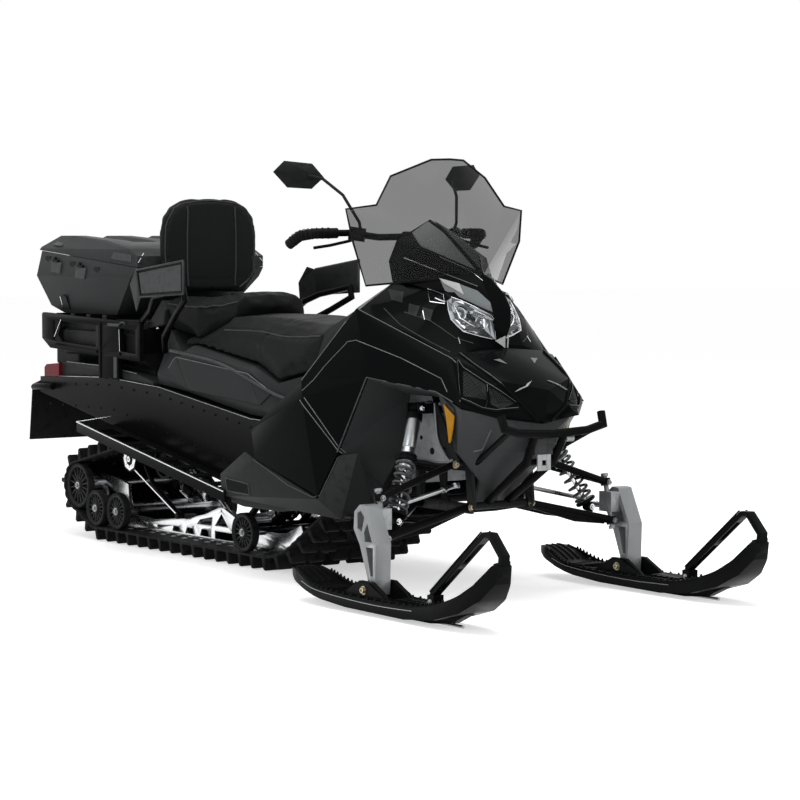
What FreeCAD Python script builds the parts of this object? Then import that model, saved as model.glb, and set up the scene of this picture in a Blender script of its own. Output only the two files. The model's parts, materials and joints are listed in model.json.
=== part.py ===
import FreeCAD, Part
import math
import os
import Sketcher

V = FreeCAD.Vector
doc = FreeCAD.newDocument("snowmobile")
sheet = doc.addObject("Spreadsheet::Sheet", "sizes")
nodes = []


# A number that remembers the sheet expression it came from
class Size:
    def __init__(self, value, text):
        self.value = float(value)
        self.text = text

    def __add__(self, other):
        return join_sizes(self, other, "+")

    def __radd__(self, other):
        return join_sizes(other, self, "+")

    def __sub__(self, other):
        return join_sizes(self, other, "-")

    def __rsub__(self, other):
        return join_sizes(other, self, "-")

    def __mul__(self, other):
        return join_sizes(self, other, "*")

    def __rmul__(self, other):
        return join_sizes(other, self, "*")

    def __truediv__(self, other):
        return join_sizes(self, other, "/")

    def __neg__(self):
        return join_sizes(0, self, "-")


def num(x):
    return x.value if isinstance(x, Size) else float(x)


def text(x):
    return x.text if isinstance(x, Size) else repr(float(x))


def join_sizes(a, b, sign):
    left, right = num(a), num(b)
    if sign == "+":
        value = left + right
    elif sign == "-":
        value = left - right
    elif sign == "*":
        value = left * right
    else:
        value = left / right
    return Size(value, "(" + text(a) + " " + sign + " " + text(b) + ")")


row = [0]


def size(name, value):
    row[0] += 1
    sheet.set("A" + str(row[0]), name)
    sheet.set("B" + str(row[0]), str(value))
    sheet.setAlias("B" + str(row[0]), name)
    return Size(value, "sizes." + name)


# Sets a property to a number, or binds it to the sheet
def bind(obj, prop, x):
    if isinstance(x, Size):
        obj.setExpression(prop, x.text)
    else:
        obj.setExpression(prop, repr(float(x)))


def place(obj, x=0, y=0, z=0):
    bind(obj, "Placement.Base.x", x)
    bind(obj, "Placement.Base.y", y)
    bind(obj, "Placement.Base.z", z)
    return obj


def node(obj, label):
    obj.Label = label
    nodes.append(obj)
    return obj


def vec(p):
    return V(num(p[0]), num(p[1]), num(p[2]))


# A closed outline whose corners are held by the sheet, with round holes
def outline(sketch, points, holes=()):
    n = len(points)
    first = sketch.GeometryCount
    for i in range(n):
        a, b = points[i], points[(i + 1) % n]
        line = Part.LineSegment(V(num(a[0]), num(a[1]), 0), V(num(b[0]), num(b[1]), 0))
        sketch.addGeometry(line, False)
    for i in range(n):
        sketch.addConstraint(Sketcher.Constraint("Coincident", first + i, 2, first + (i + 1) % n, 1))
    for i, p in enumerate(points):
        for axis, x in (("DistanceX", p[0]), ("DistanceY", p[1])):
            c = sketch.addConstraint(Sketcher.Constraint(axis, -1, 1, first + i, 1, num(x)))
            if isinstance(x, Size):
                sketch.setExpression("Constraints[" + str(c) + "]", x.text)
    for x, y, r in holes:
        g = sketch.addGeometry(Part.Circle(V(num(x), num(y), 0), V(0, 0, 1), num(r)), False)
        for kind, value in (("Radius", r), ("DistanceX", x), ("DistanceY", y)):
            if kind == "Radius":
                c = sketch.addConstraint(Sketcher.Constraint("Radius", g, num(value)))
            else:
                c = sketch.addConstraint(Sketcher.Constraint(kind, -1, 1, g, 3, num(value)))
            if isinstance(value, Size):
                sketch.setExpression("Constraints[" + str(c) + "]", value.text)


def body_sketch(body, name, plane, offset, points, holes=(), inner=()):
    sketch = body.newObject("Sketcher::SketchObject", name)
    base = [f for f in body.Origin.OriginFeatures if f.Role == plane][0]
    sketch.AttachmentSupport = [(base, "")]
    sketch.MapMode = "FlatFace"
    bind(sketch, "AttachmentOffset.Base.z", offset)
    outline(sketch, points, holes)
    for ring in inner:
        outline(sketch, ring)
    return sketch


# A plate in the side view: outline in X and Z, from y0 to y1
def side_plate(name, points, y0, y1, holes=(), inner=()):
    body = doc.addObject("PartDesign::Body", name)
    sketch = body_sketch(body, name + "_sketch", "XZ_Plane", -y1, points, holes, inner)
    pad = body.newObject("PartDesign::Pad", name + "_pad")
    pad.Profile = sketch
    bind(pad, "Length", y1 - y0)
    sketch.Visibility = False
    return body


# A plate seen from above: outline in X and Y, from z0 to z1
def flat_plate(name, points, z0, z1, holes=(), inner=()):
    body = doc.addObject("PartDesign::Body", name)
    sketch = body_sketch(body, name + "_sketch", "XY_Plane", z0, points, holes, inner)
    pad = body.newObject("PartDesign::Pad", name + "_pad")
    pad.Profile = sketch
    bind(pad, "Length", z1 - z0)
    return body


# A plate across the machine: outline in Y and Z, from x0 to x1
def cross_plate(name, points, x0, x1, holes=(), inner=()):
    body = doc.addObject("PartDesign::Body", name)
    sketch = body_sketch(body, name + "_sketch", "YZ_Plane", x0, points, holes, inner)
    pad = body.newObject("PartDesign::Pad", name + "_pad")
    pad.Profile = sketch
    bind(pad, "Length", x1 - x0)
    return body


def box(name, x0, x1, y0, y1, z0, z1):
    b = doc.addObject("Part::Box", name)
    bind(b, "Length", x1 - x0)
    bind(b, "Width", y1 - y0)
    bind(b, "Height", z1 - z0)
    return place(b, x0, y0, z0)


def rod(name, r, start, end):
    a, b = vec(start), vec(end)
    c = doc.addObject("Part::Cylinder", name)
    bind(c, "Radius", r)
    c.Height = (b - a).Length
    c.Placement = FreeCAD.Placement(a, FreeCAD.Rotation(V(0, 0, 1), b - a))
    return c


# A round shaft across the machine, bound to the sheet in every size
def shaft(name, r, x, y0, y1, z):
    c = doc.addObject("Part::Cylinder", name)
    bind(c, "Radius", r)
    bind(c, "Height", y1 - y0)
    c.Placement = FreeCAD.Placement(V(0, 0, 0), FreeCAD.Rotation(V(1, 0, 0), -90))
    return place(c, x, y0, z)


# A bent tube along a path, mitred or rounded at its corners
def tube(name, r, path, turn="Right corner"):
    line = doc.addObject("Part::Polygon", name + "_path")
    line.Nodes = [vec(p) for p in path]
    ring = doc.addObject("Part::Circle", name + "_ring")
    bind(ring, "Radius", r)
    a, b = vec(path[0]), vec(path[1])
    ring.Placement = FreeCAD.Placement(a, FreeCAD.Rotation(V(0, 0, 1), b - a))
    sweep = doc.addObject("Part::Sweep", name)
    sweep.Sections = [ring]
    sweep.Spine = (line, [])
    sweep.Solid = True
    sweep.Frenet = False
    sweep.Transition = turn
    return sweep


def fuse(name, parts):
    f = doc.addObject("Part::MultiFuse", name)
    f.Shapes = parts
    return f


def cut(name, base, tool):
    c = doc.addObject("Part::Cut", name)
    c.Base = base
    c.Tool = tool
    return c


def group(name, parts):
    c = doc.addObject("Part::Compound", name)
    c.Links = parts
    return c


def mirrored(obj, name):
    m = doc.addObject("Part::Mirroring", name)
    m.Source = obj
    m.Base = V(0, 0, 0)
    m.Normal = V(0, 1, 0)
    return m


# The left piece and its mirror image as one node of two solids
def pair(name, obj):
    return group(name, [obj, mirrored(obj, name + "_right")])


def copy_at(name, obj, x, y, z):
    return place(group(name, [obj]), x, y, z)


# A solid between section outlines at stations along X
def loft(name, stations):
    rings = []
    for i, (x, points) in enumerate(stations):
        s = doc.addObject("Sketcher::SketchObject", name + "_ring" + str(i))
        s.Placement = FreeCAD.Placement(V(num(x), 0, 0), FreeCAD.Rotation(V(0, 1, 0), V(0, 0, 1), V(1, 0, 0), "ZXY"))
        bind(s, "Placement.Base.x", x)
        outline(s, points)
        rings.append(s)
    l = doc.addObject("Part::Loft", name)
    l.Sections = rings
    l.Solid = True
    l.Ruled = True
    return l


def both_sides(half):
    left = [p for p in half]
    right = [(-p[0], p[1]) for p in reversed(half) if num(p[0]) != 0]
    return left + right


# A folded sheet of plastic: outer corners, its facets and the way in to its inner face
def folded(name, corners, facets, inward):
    outer = [vec(p) for p in corners]
    inner = [p + V(*inward) for p in outer]
    faces = []
    edges = {}
    for f in facets:
        for i in range(len(f)):
            a, b = f[i], f[(i + 1) % len(f)]
            edges[(a, b)] = True
    for f in facets:
        for i in range(1, len(f) - 1):
            tri = (f[0], f[i], f[i + 1])
            for pts, order in ((outer, tri), (inner, tri[::-1])):
                ring = [pts[k] for k in order]
                faces.append(Part.Face(Part.makePolygon(ring + [ring[0]])))
    for a, b in edges:
        if (b, a) in edges:
            continue
        for ring in ([outer[b], outer[a], inner[a]], [outer[b], inner[a], inner[b]]):
            faces.append(Part.Face(Part.makePolygon(ring + [ring[0]])))
    shell = Part.Shell(faces)
    shell.sewShape()
    solid = Part.Solid(shell)
    if solid.Volume < 0:
        solid.reverse()
    f = doc.addObject("Part::Feature", name)
    f.Shape = solid.removeSplitter()
    return f


# A closed solid from corners and facets
def facet_solid(name, corners, facets):
    pts = [vec(p) for p in corners]
    faces = []
    for f in facets:
        for i in range(1, len(f) - 1):
            ring = [pts[f[0]], pts[f[i]], pts[f[i + 1]]]
            faces.append(Part.Face(Part.makePolygon(ring + [ring[0]])))
    shell = Part.Shell(faces)
    shell.sewShape()
    solid = Part.Solid(shell)
    if solid.Volume < 0:
        solid.reverse()
    f = doc.addObject("Part::Feature", name)
    f.Shape = solid.removeSplitter()
    return f


# Driving sizes, in millimetres
track_width = size("track_width", 508)
belt = size("belt_thickness", 8)
lug_height = size("lug_height", 44)
lug_rows = size("lug_rows", 52)
idler_radius = size("idler_radius", 68)
rear_radius = size("rear_wheel_radius", 85)
wheel_width = size("wheel_width", 30)
wheel_inset = size("wheel_inset", 8)
wheel_face = track_width / 2 - wheel_inset
rear_x = size("rear_axle_x", -1290)
rear_z = size("rear_axle_z", 196)
idler_a_x = size("idler_a_x", -1159)
idler_b_x = size("idler_b_x", -1004)
front_idler_x = size("front_idler_x", -140)
driver_x = size("driver_x", 362)
driver_z = size("driver_z", 330)
driver_radius = size("driver_radius", 85)
carrier_x = size("carrier_x", -858)
carrier_z = size("carrier_z", 312)
bend_x = size("rail_bend_x", -20)
bend_radius = size("rail_bend_radius", 350)
rail_y = size("rail_centre_y", 160)
rail_thickness = size("rail_thickness", 14)
tunnel_clearance = size("tunnel_clearance", 19)
tunnel_half = track_width / 2 + tunnel_clearance
tunnel_wall = size("tunnel_wall", 4)
board_edge = size("board_edge_y", 430)
board_thickness = size("board_thickness", 6)
stance_half = size("ski_stance_half", 500)
ski_half = size("ski_half_width", 75)
ski_pin_x = size("ski_pin_x", 1018)
ski_pin_z = size("ski_pin_z", 70)
leg_half = size("spindle_half_width", 28)
king_inset = size("kingpin_inset", 50)
king_y = stance_half - king_inset
arm_radius = size("arm_tube_radius", 13)
bumper_radius = size("bumper_tube_radius", 13)
bar_radius = size("handlebar_radius", 11)
grip_radius = size("grip_radius", 17)
box_half = size("cargo_box_half_width", 275)
box_wall = size("cargo_box_wall", 5)
box_rear = size("cargo_box_rear_x", -1543)
box_front = size("cargo_box_front_x", -795)
box_floor = size("cargo_box_floor_z", 846)
box_rim = size("cargo_box_rim_z", 1050)
seat_half = size("seat_half_width", 200)
screen_wall = size("windshield_thickness", 4)
plastic = size("body_panel_thickness", 6)

idler_z = idler_radius + belt + lug_height

# Tunnel: an inverted channel over the track
top_line = [(-1525, 600), (-1000, 615), (-640, 595), (-40, 515), (480, 500)]
board_slope = -0.178


def board_z(x):
    return 437 + board_slope * (x + 940)


tunnel = doc.addObject("PartDesign::Body", "tunnel")
low_line = [(480, board_z(120)), (120, board_z(120)), (-1525, board_z(-1525))]
tunnel_sketch = body_sketch(tunnel, "tunnel_side", "XZ_Plane", 0, low_line + top_line)
tunnel_pad = tunnel.newObject("PartDesign::Pad", "tunnel_pad")
tunnel_pad.Profile = tunnel_sketch
tunnel_pad.Midplane = True
bind(tunnel_pad, "Length", tunnel_half * 2)
doc.recompute()
under = [(490, 200), (-1535, 200)] + [(x, z - tunnel_wall) for x, z in
        [(-1535, 600)] + top_line[1:-1] + [(490, 500)]]
hollow_sketch = body_sketch(tunnel, "tunnel_hollow", "XZ_Plane", 0, under)
hollow = tunnel.newObject("PartDesign::Pocket", "tunnel_pocket")
hollow.Profile = hollow_sketch
hollow.Midplane = True
bind(hollow, "Length", (tunnel_half - tunnel_wall) * 2)
node(tunnel, "tunnel")

# Running boards with traction openings and a turned-up outer edge
rear_end, front_end = -960, 40
strip = [(rear_end, board_z(rear_end)), (front_end, board_z(front_end)),
         (front_end, board_z(front_end) + board_thickness), (rear_end, board_z(rear_end) + board_thickness)]
board = side_plate("board_deck", strip, tunnel_half, board_edge)
lip = [(rear_end, board_z(rear_end) - 14), (front_end, board_z(front_end) - 14),
       (front_end, board_z(front_end) + 22), (rear_end, board_z(rear_end) + 22)]
board_lip = side_plate("board_lip", lip, board_edge - 12, board_edge)
windows = []
for i in range(8):
    x = rear_end + 70 + 112 * i
    windows.append(box("board_window" + str(i), x, x + 74, tunnel_half + 40, board_edge - 34, 200, 520))
board_solid = fuse("board_solid", [board, board_lip])
board_open = cut("board_open", board_solid, group("board_windows", windows))
node(pair("running_boards", board_open), "running_boards")

# Track: one loop over the rear wheels, idlers, rail noses and drive sprockets
circles = [(num(rear_x), num(rear_z), num(rear_radius)), (num(idler_a_x), num(idler_z), num(idler_radius)),
           (num(bend_x), num(idler_z) - num(idler_radius) + num(bend_radius), num(bend_radius)),
           (num(driver_x), num(driver_z), num(driver_radius)),
           (num(carrier_x), num(carrier_z), num(idler_radius))]


def loop_pieces(grow):
    out = []
    n = len(circles)
    marks = []
    for i in range(n):
        x0, z0, r0 = circles[i]
        x1, z1, r1 = circles[(i + 1) % n]
        dx, dz = x1 - x0, z1 - z0
        d = math.hypot(dx, dz)
        base = math.atan2(dz, dx)
        a = base - math.acos((r0 - r1) / d)
        marks.append((a, (x0 + (r0 + grow) * math.cos(a), z0 + (r0 + grow) * math.sin(a)),
                      (x1 + (r1 + grow) * math.cos(a), z1 + (r1 + grow) * math.sin(a))))
    for i in range(n):
        a_in = marks[i - 1][0]
        a_out = marks[i][0]
        while a_out < a_in:
            a_out += 2 * math.pi
        x, z, r = circles[i]
        out.append(("arc", x, z, r + grow, a_in, a_out))
        out.append(("line", marks[i][1], marks[i][2]))
    return out


def piece_length(p):
    if p[0] == "arc":
        return p[3] * (p[5] - p[4])
    return math.hypot(p[2][0] - p[1][0], p[2][1] - p[1][1])


def loop_length(grow):
    return sum(piece_length(p) for p in loop_pieces(grow))


# Point and outward normal at a distance along the loop of the belt's outer face
def loop_point(s, grow):
    for p in loop_pieces(grow):
        length = piece_length(p)
        if s <= length:
            if p[0] == "arc":
                a = p[4] + s / p[3]
                return (p[1] + p[3] * math.cos(a), p[2] + p[3] * math.sin(a)), (math.cos(a), math.sin(a))
            t = s / length
            x = p[1][0] + (p[2][0] - p[1][0]) * t
            z = p[1][1] + (p[2][1] - p[1][1]) * t
            return (x, z), ((p[2][1] - p[1][1]) / length, -(p[2][0] - p[1][0]) / length)
        s -= length
    return loop_point(0, grow)


# Corners of the belt's inner face, on tangents so that no side cuts into a wheel
def ring_points(grow, step):
    pts = []
    for p in loop_pieces(grow):
        if p[0] == "arc":
            count = max(2, int(math.ceil((p[5] - p[4]) * 57.3 / step)))
            turn = (p[5] - p[4]) / count
            reach = p[3] / math.cos(turn / 2)
            for i in range(count):
                a = p[4] + turn * (i + 0.5)
                pts.append((p[1] + reach * math.cos(a), p[2] + reach * math.sin(a)))
        else:
            pts.append(p[1])
            pts.append(p[2])
    return pts


def lug_outline(rows):
    total = loop_length(num(belt))
    count = int(num(lug_rows))
    pitch = total / count
    root, tip = 26, 15
    pts = []
    for i in range(count):
        middle = pitch * (i + 0.5)
        if rows(i):
            for ds, h in ((-root / 2, 0), (-tip / 2, num(lug_height)), (tip / 2, num(lug_height)), (root / 2, 0)):
                c, n = loop_point(middle, num(belt))
                t = (-n[1], n[0])
                e, m = loop_point(middle + (ds if h == 0 else 0), num(belt))
                if h == 0:
                    pts.append(e)
                else:
                    pts.append((c[0] + n[0] * h + t[0] * ds, c[1] + n[1] * h + t[1] * ds))
        else:
            for ds in (-root / 2, root / 2):
                pts.append(loop_point(middle + ds, num(belt))[0])
    return pts


def track_slab(y0, y1, outer):
    out_wire = Part.makePolygon([V(x, y0, z) for x, z in outer] + [V(outer[0][0], y0, outer[0][1])])
    ring = ring_points(0.2, 18)
    in_wire = Part.makePolygon([V(x, y0, z) for x, z in ring] + [V(ring[0][0], y0, ring[0][1])])
    face = Part.makeFace([out_wire, in_wire], "Part::FaceMakerCheese")
    return face.extrude(V(0, y1 - y0, 0))


half = num(track_width) / 2
all_rows = lug_outline(lambda i: True)
even_rows = lug_outline(lambda i: i % 2 == 0)
odd_rows = lug_outline(lambda i: i % 2 == 1)
no_rows = lug_outline(lambda i: False)
bands = [(-half, -half + 8, no_rows), (-half + 8, -96, all_rows), (-96, -76, no_rows), (-76, 76, even_rows),
         (76, 96, no_rows), (96, half - 8, all_rows), (half - 8, half, no_rows)]
slabs = [track_slab(a, b, ring) for a, b, ring in bands]
track = doc.addObject("Part::Feature", "track")
track.Shape = slabs[0].multiFuse(slabs[1:])
node(track, "track")

# Slide rails with their cut-outs, one each side inside the track
rail_low = idler_z - idler_radius + 0.5
rail_side = [(idler_a_x + 9, rail_low), (-30, rail_low), (60, 62), (138, 97), (106, 160), (20, 126), (-60, 118), (-230, 126),
             (-380, 178), (-415, 178), (-500, 148), (-632, 122), (-868, 98), (-1005, 104), (-1038, 150), (-1045, 214), (idler_a_x + 9, 236),
             (rear_x + 50, 240), (rear_x - 32, 236), (rear_x - 40, 165), (rear_x + 50, 108)]
rail_holes = [[(-440, 112), (-350, 112), (-396, 158)], [(-560, 108), (-462, 108), (-456, 142), (-540, 126)],
              [(-440, 66), (-320, 66), (-320, 94), (-440, 94)], [(-540, 68), (-480, 68), (-490, 92), (-530, 92)],
              [(-640, 68), (-580, 68), (-590, 90), (-630, 90)], [(-730, 68), (-680, 68), (-688, 88), (-722, 88)],
              [(-1210, 160), (-1110, 112), (-1120, 160), (-1190, 196)]]
rail_rounds = [(-396, 168, 5), (-290, 84, 9), (-250, 84, 9), (-830, 76, 7), (-900, 76, 7)]
rail = side_plate("rail", rail_side, rail_y - rail_thickness / 2, rail_y + rail_thickness / 2, rail_rounds, rail_holes)
axle_radius = size("wheel_axle_radius", 14.2)
axle_fit = size("axle_clearance", 0.3)
axle_bores = [shaft("axle_bore" + str(i), axle_radius + axle_fit, x, rail_y - 40, rail_y + 40, z)
              for i, (x, z) in enumerate(((rear_x, rear_z), (idler_a_x, idler_z), (idler_b_x, idler_z),
                                          (front_idler_x, idler_z)))]
rail_bored = cut("rail_bored", rail, group("axle_bores", axle_bores))
node(pair("slide_rails", rail_bored), "slide_rails")


# A spoked wheel turned about a cross axis, standing at the origin
def spoked_wheel(name, radius, spokes):
    body = doc.addObject("PartDesign::Body", name)
    w = wheel_width
    profile = [(14, -w / 2), (24, -w / 2), (26, -w / 4), (radius - 14, -w / 5), (radius - 11, -w / 2),
               (radius, -w / 2), (radius, w / 2), (radius - 11, w / 2), (radius - 14, w / 5), (26, w / 4),
               (24, w / 2), (14, w / 2)]
    sketch = body_sketch(body, name + "_profile", "XY_Plane", 0, profile)
    turn = body.newObject("PartDesign::Revolution", name + "_turn")
    turn.Profile = sketch
    turn.ReferenceAxis = (sketch, ["V_Axis"])
    turn.Angle = 360
    doc.recompute()
    slot = body_sketch(body, name + "_slot", "XZ_Plane", -w,
                       [(31, -4), (radius - 20, -7), (radius - 20, 7), (31, 4)])
    pocket = body.newObject("PartDesign::Pocket", name + "_pocket")
    pocket.Profile = slot
    pocket.Type = 1
    pattern = body.newObject("PartDesign::PolarPattern", name + "_spokes")
    pattern.Originals = [pocket]
    pattern.Axis = (sketch, ["V_Axis"])
    pattern.Angle = 360
    pattern.Occurrences = spokes
    body.Tip = pattern
    doc.recompute()
    return body


small_wheel = spoked_wheel("idler_wheel", idler_radius, 8)
big_wheel = spoked_wheel("rear_wheel", rear_radius, 10)
wheel_y = wheel_face - wheel_width / 2
sets = []
for label, wheel, x, z in (("rear", big_wheel, rear_x, rear_z), ("idler_a", small_wheel, idler_a_x, idler_z),
                           ("idler_b", small_wheel, idler_b_x, idler_z),
                           ("front", small_wheel, front_idler_x, idler_z)):
    near = copy_at(label + "_wheel_right", wheel, x, -wheel_y, z)
    far = copy_at(label + "_wheel_left", wheel, x, wheel_y, z)
    axle = shaft(label + "_axle", axle_radius, x, -wheel_face - 3, wheel_face + 3, z)
    sets.append(fuse(label + "_wheels", [near, far, axle]))
node(group("idler_wheels", sets), "idler_wheels")

# Skid arms: front and rear swing arms between tunnel and rails
front_top = (-60, 330)
front_foot = (-330, 112)
rear_foot = (-655, 118)
reach = tunnel_half - tunnel_wall
rail_face = rail_y - rail_thickness / 2
front_arm = tube("front_arm_left", 12, [(front_top[0], 125, front_top[1]), (front_foot[0], 125, front_foot[1])])
front_set = [shaft("front_arm_top", 14, front_top[0], -reach, reach, front_top[1]),
             shaft("front_arm_foot", 13, front_foot[0], -rail_face, rail_face, front_foot[1]),
             front_arm, mirrored(front_arm, "front_arm_right"),
             shaft("front_arm_brace", 10, -190, -125, 125, 225)]
rear_arm = tube("rear_arm_left", 9, [(-858, 205, 312), (-800, 205, 236), (-655, 182, 132)])
rear_pin = shaft("rear_arm_pin", 11, rear_foot[0], rail_face + rail_thickness, 196, 130)
star = side_plate("pivot_plate", [(-908, 323), (-893, 361), (-858, 376), (-823, 361), (-813, 323), (-823, 289),
                  (-858, 277), (-893, 289)], reach - 8, reach - 0.3)
star_hanger = side_plate("pivot_hanger", [(-886, 330), (-830, 330), (-815, 470), (-900, 470)], reach - 7, reach - 0.3)
carrier = copy_at("carrier_left", small_wheel, carrier_x, 110, carrier_z)
rear_set = [shaft("rear_arm_top", 14.2, carrier_x, -reach, reach, carrier_z),
            rear_arm, mirrored(rear_arm, "rear_arm_right"), rear_pin, mirrored(rear_pin, "rear_pin_right"),
            star, mirrored(star, "pivot_plate_right"), star_hanger, mirrored(star_hanger, "pivot_hanger_right"),
            carrier, mirrored(carrier, "carrier_right")]
node(group("skid_arms", [fuse("front_skid_arm", front_set), fuse("rear_skid_arm", rear_set)]), "skid_arms")

# Skid shock absorber on the centre line and the torsion coils between the rails
shock_low = V(-560, 0, 104)
shock_top = V(-840, 0, 290)
middle = shock_low + (shock_top - shock_low) * 0.52
shock_body = rod("skid_shock_body", 24, tuple(middle), tuple(shock_top))
shock_rod = rod("skid_shock_rod", 8, tuple(shock_low), tuple(middle))
shock_foot = shaft("skid_shock_foot", 11, -560, -rail_face, rail_face, 104)
coil_left = shaft("torsion_left", 30, -760, 52, 112, 94)
coil_shaft = shaft("torsion_shaft", 12, -760, -rail_face, rail_face, 94)
torsion = fuse("torsion_springs", [coil_left, mirrored(coil_left, "torsion_right"), coil_shaft])
node(group("skid_spring_set", [fuse("skid_shock", [shock_body, shock_rod, shock_foot]), torsion]), "skid_springs")

# Drive shaft with two toothed sprockets
shaft_bar = shaft("drive_shaft", 18, driver_x, -tunnel_half + tunnel_wall, tunnel_half - tunnel_wall, driver_z)
teeth = []
for i in range(36):
    a = math.radians(10 * i)
    r = num(driver_radius) - (2 if i % 2 else 12)
    teeth.append((driver_x + r * math.cos(a), driver_z + r * math.sin(a)))
sprocket = side_plate("sprocket", teeth, 80, 120)
drive = fuse("drive_axle", [shaft_bar, sprocket, mirrored(sprocket, "sprocket_right")])
node(drive, "drive_axle")

# Engine as one plain block with its cylinder head
bulkhead_rear = 694
engine_low = box("engine_case", 500, bulkhead_rear - 0.3, -160, 160, 345, 560)
engine_top = box("engine_head", 540, 832, -90, 90, 540, 698)
node(fuse("engine", [engine_low, engine_top]), "engine")

# Bulkhead: narrow keel plates that carry the lower arms, wide upper plates and cross beams
keel_plate = side_plate("keel_plate", [(694, 270), (985, 270), (1000, 300), (985, 445), (694, 445)], 112, 120, (),
                        [[(730, 300), (832, 300), (812, 400), (740, 400)], [(852, 318), (870, 302), (962, 302), (952, 402), (852, 402)]])
high_plate = side_plate("high_plate", [(694, 418), (985, 418), (985, 445), (872, 612), (835, 618), (770, 600),
                        (694, 470)], 166, 174, [(915, 470, 9), (860, 520, 12), (800, 480, 22)])
beams = [shaft("bulk_beam" + str(i), 12, x, -reach, reach, z) for i, (x, z, reach) in
         enumerate([(712, 290, 116), (965, 292, 116), (712, 432, 170), (955, 432, 170), (850, 590, 170)])]
bulkhead = fuse("bulkhead", [keel_plate, mirrored(keel_plate, "keel_plate_right"), high_plate,
                mirrored(high_plate, "high_plate_right")] + beams)
node(bulkhead, "bulkhead")

# Frame tubes from tunnel to bulkhead and up to the steering post
frame_radius = size("frame_tube_radius", 13)
frame_fit = size("frame_tube_clearance", 1)


def frame_tubes(prefix, radius):
    low_y = tunnel_half + frame_radius + 0.2
    paths = [[(360, low_y, 330), (500, low_y, 330), (680, 190, 318)],
             [(455, 240, 514.5), (640, 60, 790)], [(850, 152, 618), (650, 75, 800)]]
    left = [tube(prefix + str(i), radius, path) for i, path in enumerate(paths)]
    return left + [mirrored(t, t.Name + "_right") for t in left]


tube_group = cut("frame_tube_set", group("frame_tube_all", frame_tubes("frame_tube", frame_radius)), bulkhead)
tube_space = group("frame_tube_space", frame_tubes("tube_space", frame_radius + frame_fit))

# Front bumper with its upturned ends and struts
bumper_fit = size("bumper_clearance", 1.5)


def bumper_struts(prefix, grow):
    strut = tube(prefix + "_strut", bumper_radius + grow, [(1222, 60, 530), (1172, 52, 440), (962, 40, 300)])
    side_strut = tube(prefix + "_side", bumper_radius - 4 + grow, [(1236, 168, 543), (1010, 124, 430)])
    return [strut, mirrored(strut, prefix + "_strut_right"), side_strut, mirrored(side_strut, prefix + "_side_right")]


hoop = tube("bumper_hoop", bumper_radius, [(1228, -197, 590), (1242, -193, 552), (1236, -136, 536),
            (1226, 0, 528), (1236, 136, 536), (1242, 193, 552), (1228, 197, 590)])
cross = tube("bumper_cross", bumper_radius - 3, [(1172, -60, 440), (1172, 60, 440)])
bumper_solid = fuse("bumper_solid", [hoop, cross] + bumper_struts("bumper", 0))
node(cut("front_bumper", bumper_solid, bulkhead), "front_bumper")
strut_space = group("strut_space", bumper_struts("strut_space", bumper_fit))

# Kingpin line, steering arm and ski leg sizes
king_low = (985, king_y, 215)
king_high = (955, king_y, 338)
lean = V(king_high[0] - king_low[0], 0, king_high[2] - king_low[2]).normalize()


def on_kingpin(z):
    return V(king_low[0], num(king_y), king_low[2]) + lean * ((z - king_low[2]) / lean.z)


def king_disc(name, r, z, height):
    c = on_kingpin(z)
    return rod(name, r, tuple(c - lean * (height / 2)), tuple(c + lean * (height / 2)))


def between(a, b, t):
    return tuple(vec(a) + (vec(b) - vec(a)) * t)


shock_inset = size("shock_foot_inset", 65)
shock_eye = size("shock_eye_radius", 15)
shock_foot_z = 262


# A-arms: lower and upper pair each side with their eyes
def arm_set(side):
    s = side + "_"
    low_front, low_rear, low_end = (966, 118, 290), (712, 132, 290), (983, king_y, 217)
    post_y = king_y - shock_inset
    lower = [tube(s + "lower_front", arm_radius, [low_front, low_end]),
             tube(s + "lower_rear", arm_radius, [low_rear, low_end]),
             rod(s + "lower_brace", 9, between(low_front, low_end, 0.46), between(low_rear, low_end, 0.5)),
             rod(s + "lower_post", 14, (948, post_y, 212), (948, post_y, shock_foot_z - shock_eye)),
             rod(s + "lower_eye_tube", 16, (690, 137, 290), (740, 137, 290))]
    upper = [tube(s + "upper_front", arm_radius - 2, [(966, 177, 426), (957, king_y, 338)]),
             tube(s + "upper_rear", arm_radius - 2, [(712, 184, 434), (956, king_y, 338)]),
             rod(s + "upper_brace", 8, (963, 230, 409), (754, 230, 417.5))]
    low = fuse(s + "lower_solid", lower + [king_disc(s + "lower_eye", 17, 215, 24)])
    high = fuse(s + "upper_solid", upper + [king_disc(s + "upper_eye", 17, 338, 22)])
    low = cut(s + "lower_arm", low, group(s + "lower_cuts", [king_disc(s + "lower_bore", 9, 215, 80), bulkhead]))
    high = cut(s + "upper_arm", high, group(s + "upper_cuts", [king_disc(s + "upper_bore", 9, 338, 80), bulkhead]))
    return group(s + "arms", [low, high])


left_arms = arm_set("left")
node(pair("suspension_arms", left_arms), "suspension_arms")

# Front shock absorbers with a silver body, black coil spring and eyes
eye_low = V(948, num(king_y - shock_inset), shock_foot_z)
eye_high = V(838, 225, 598)
way = (eye_high - eye_low).normalize()


def along(distance):
    return tuple(eye_low + way * distance)


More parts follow.
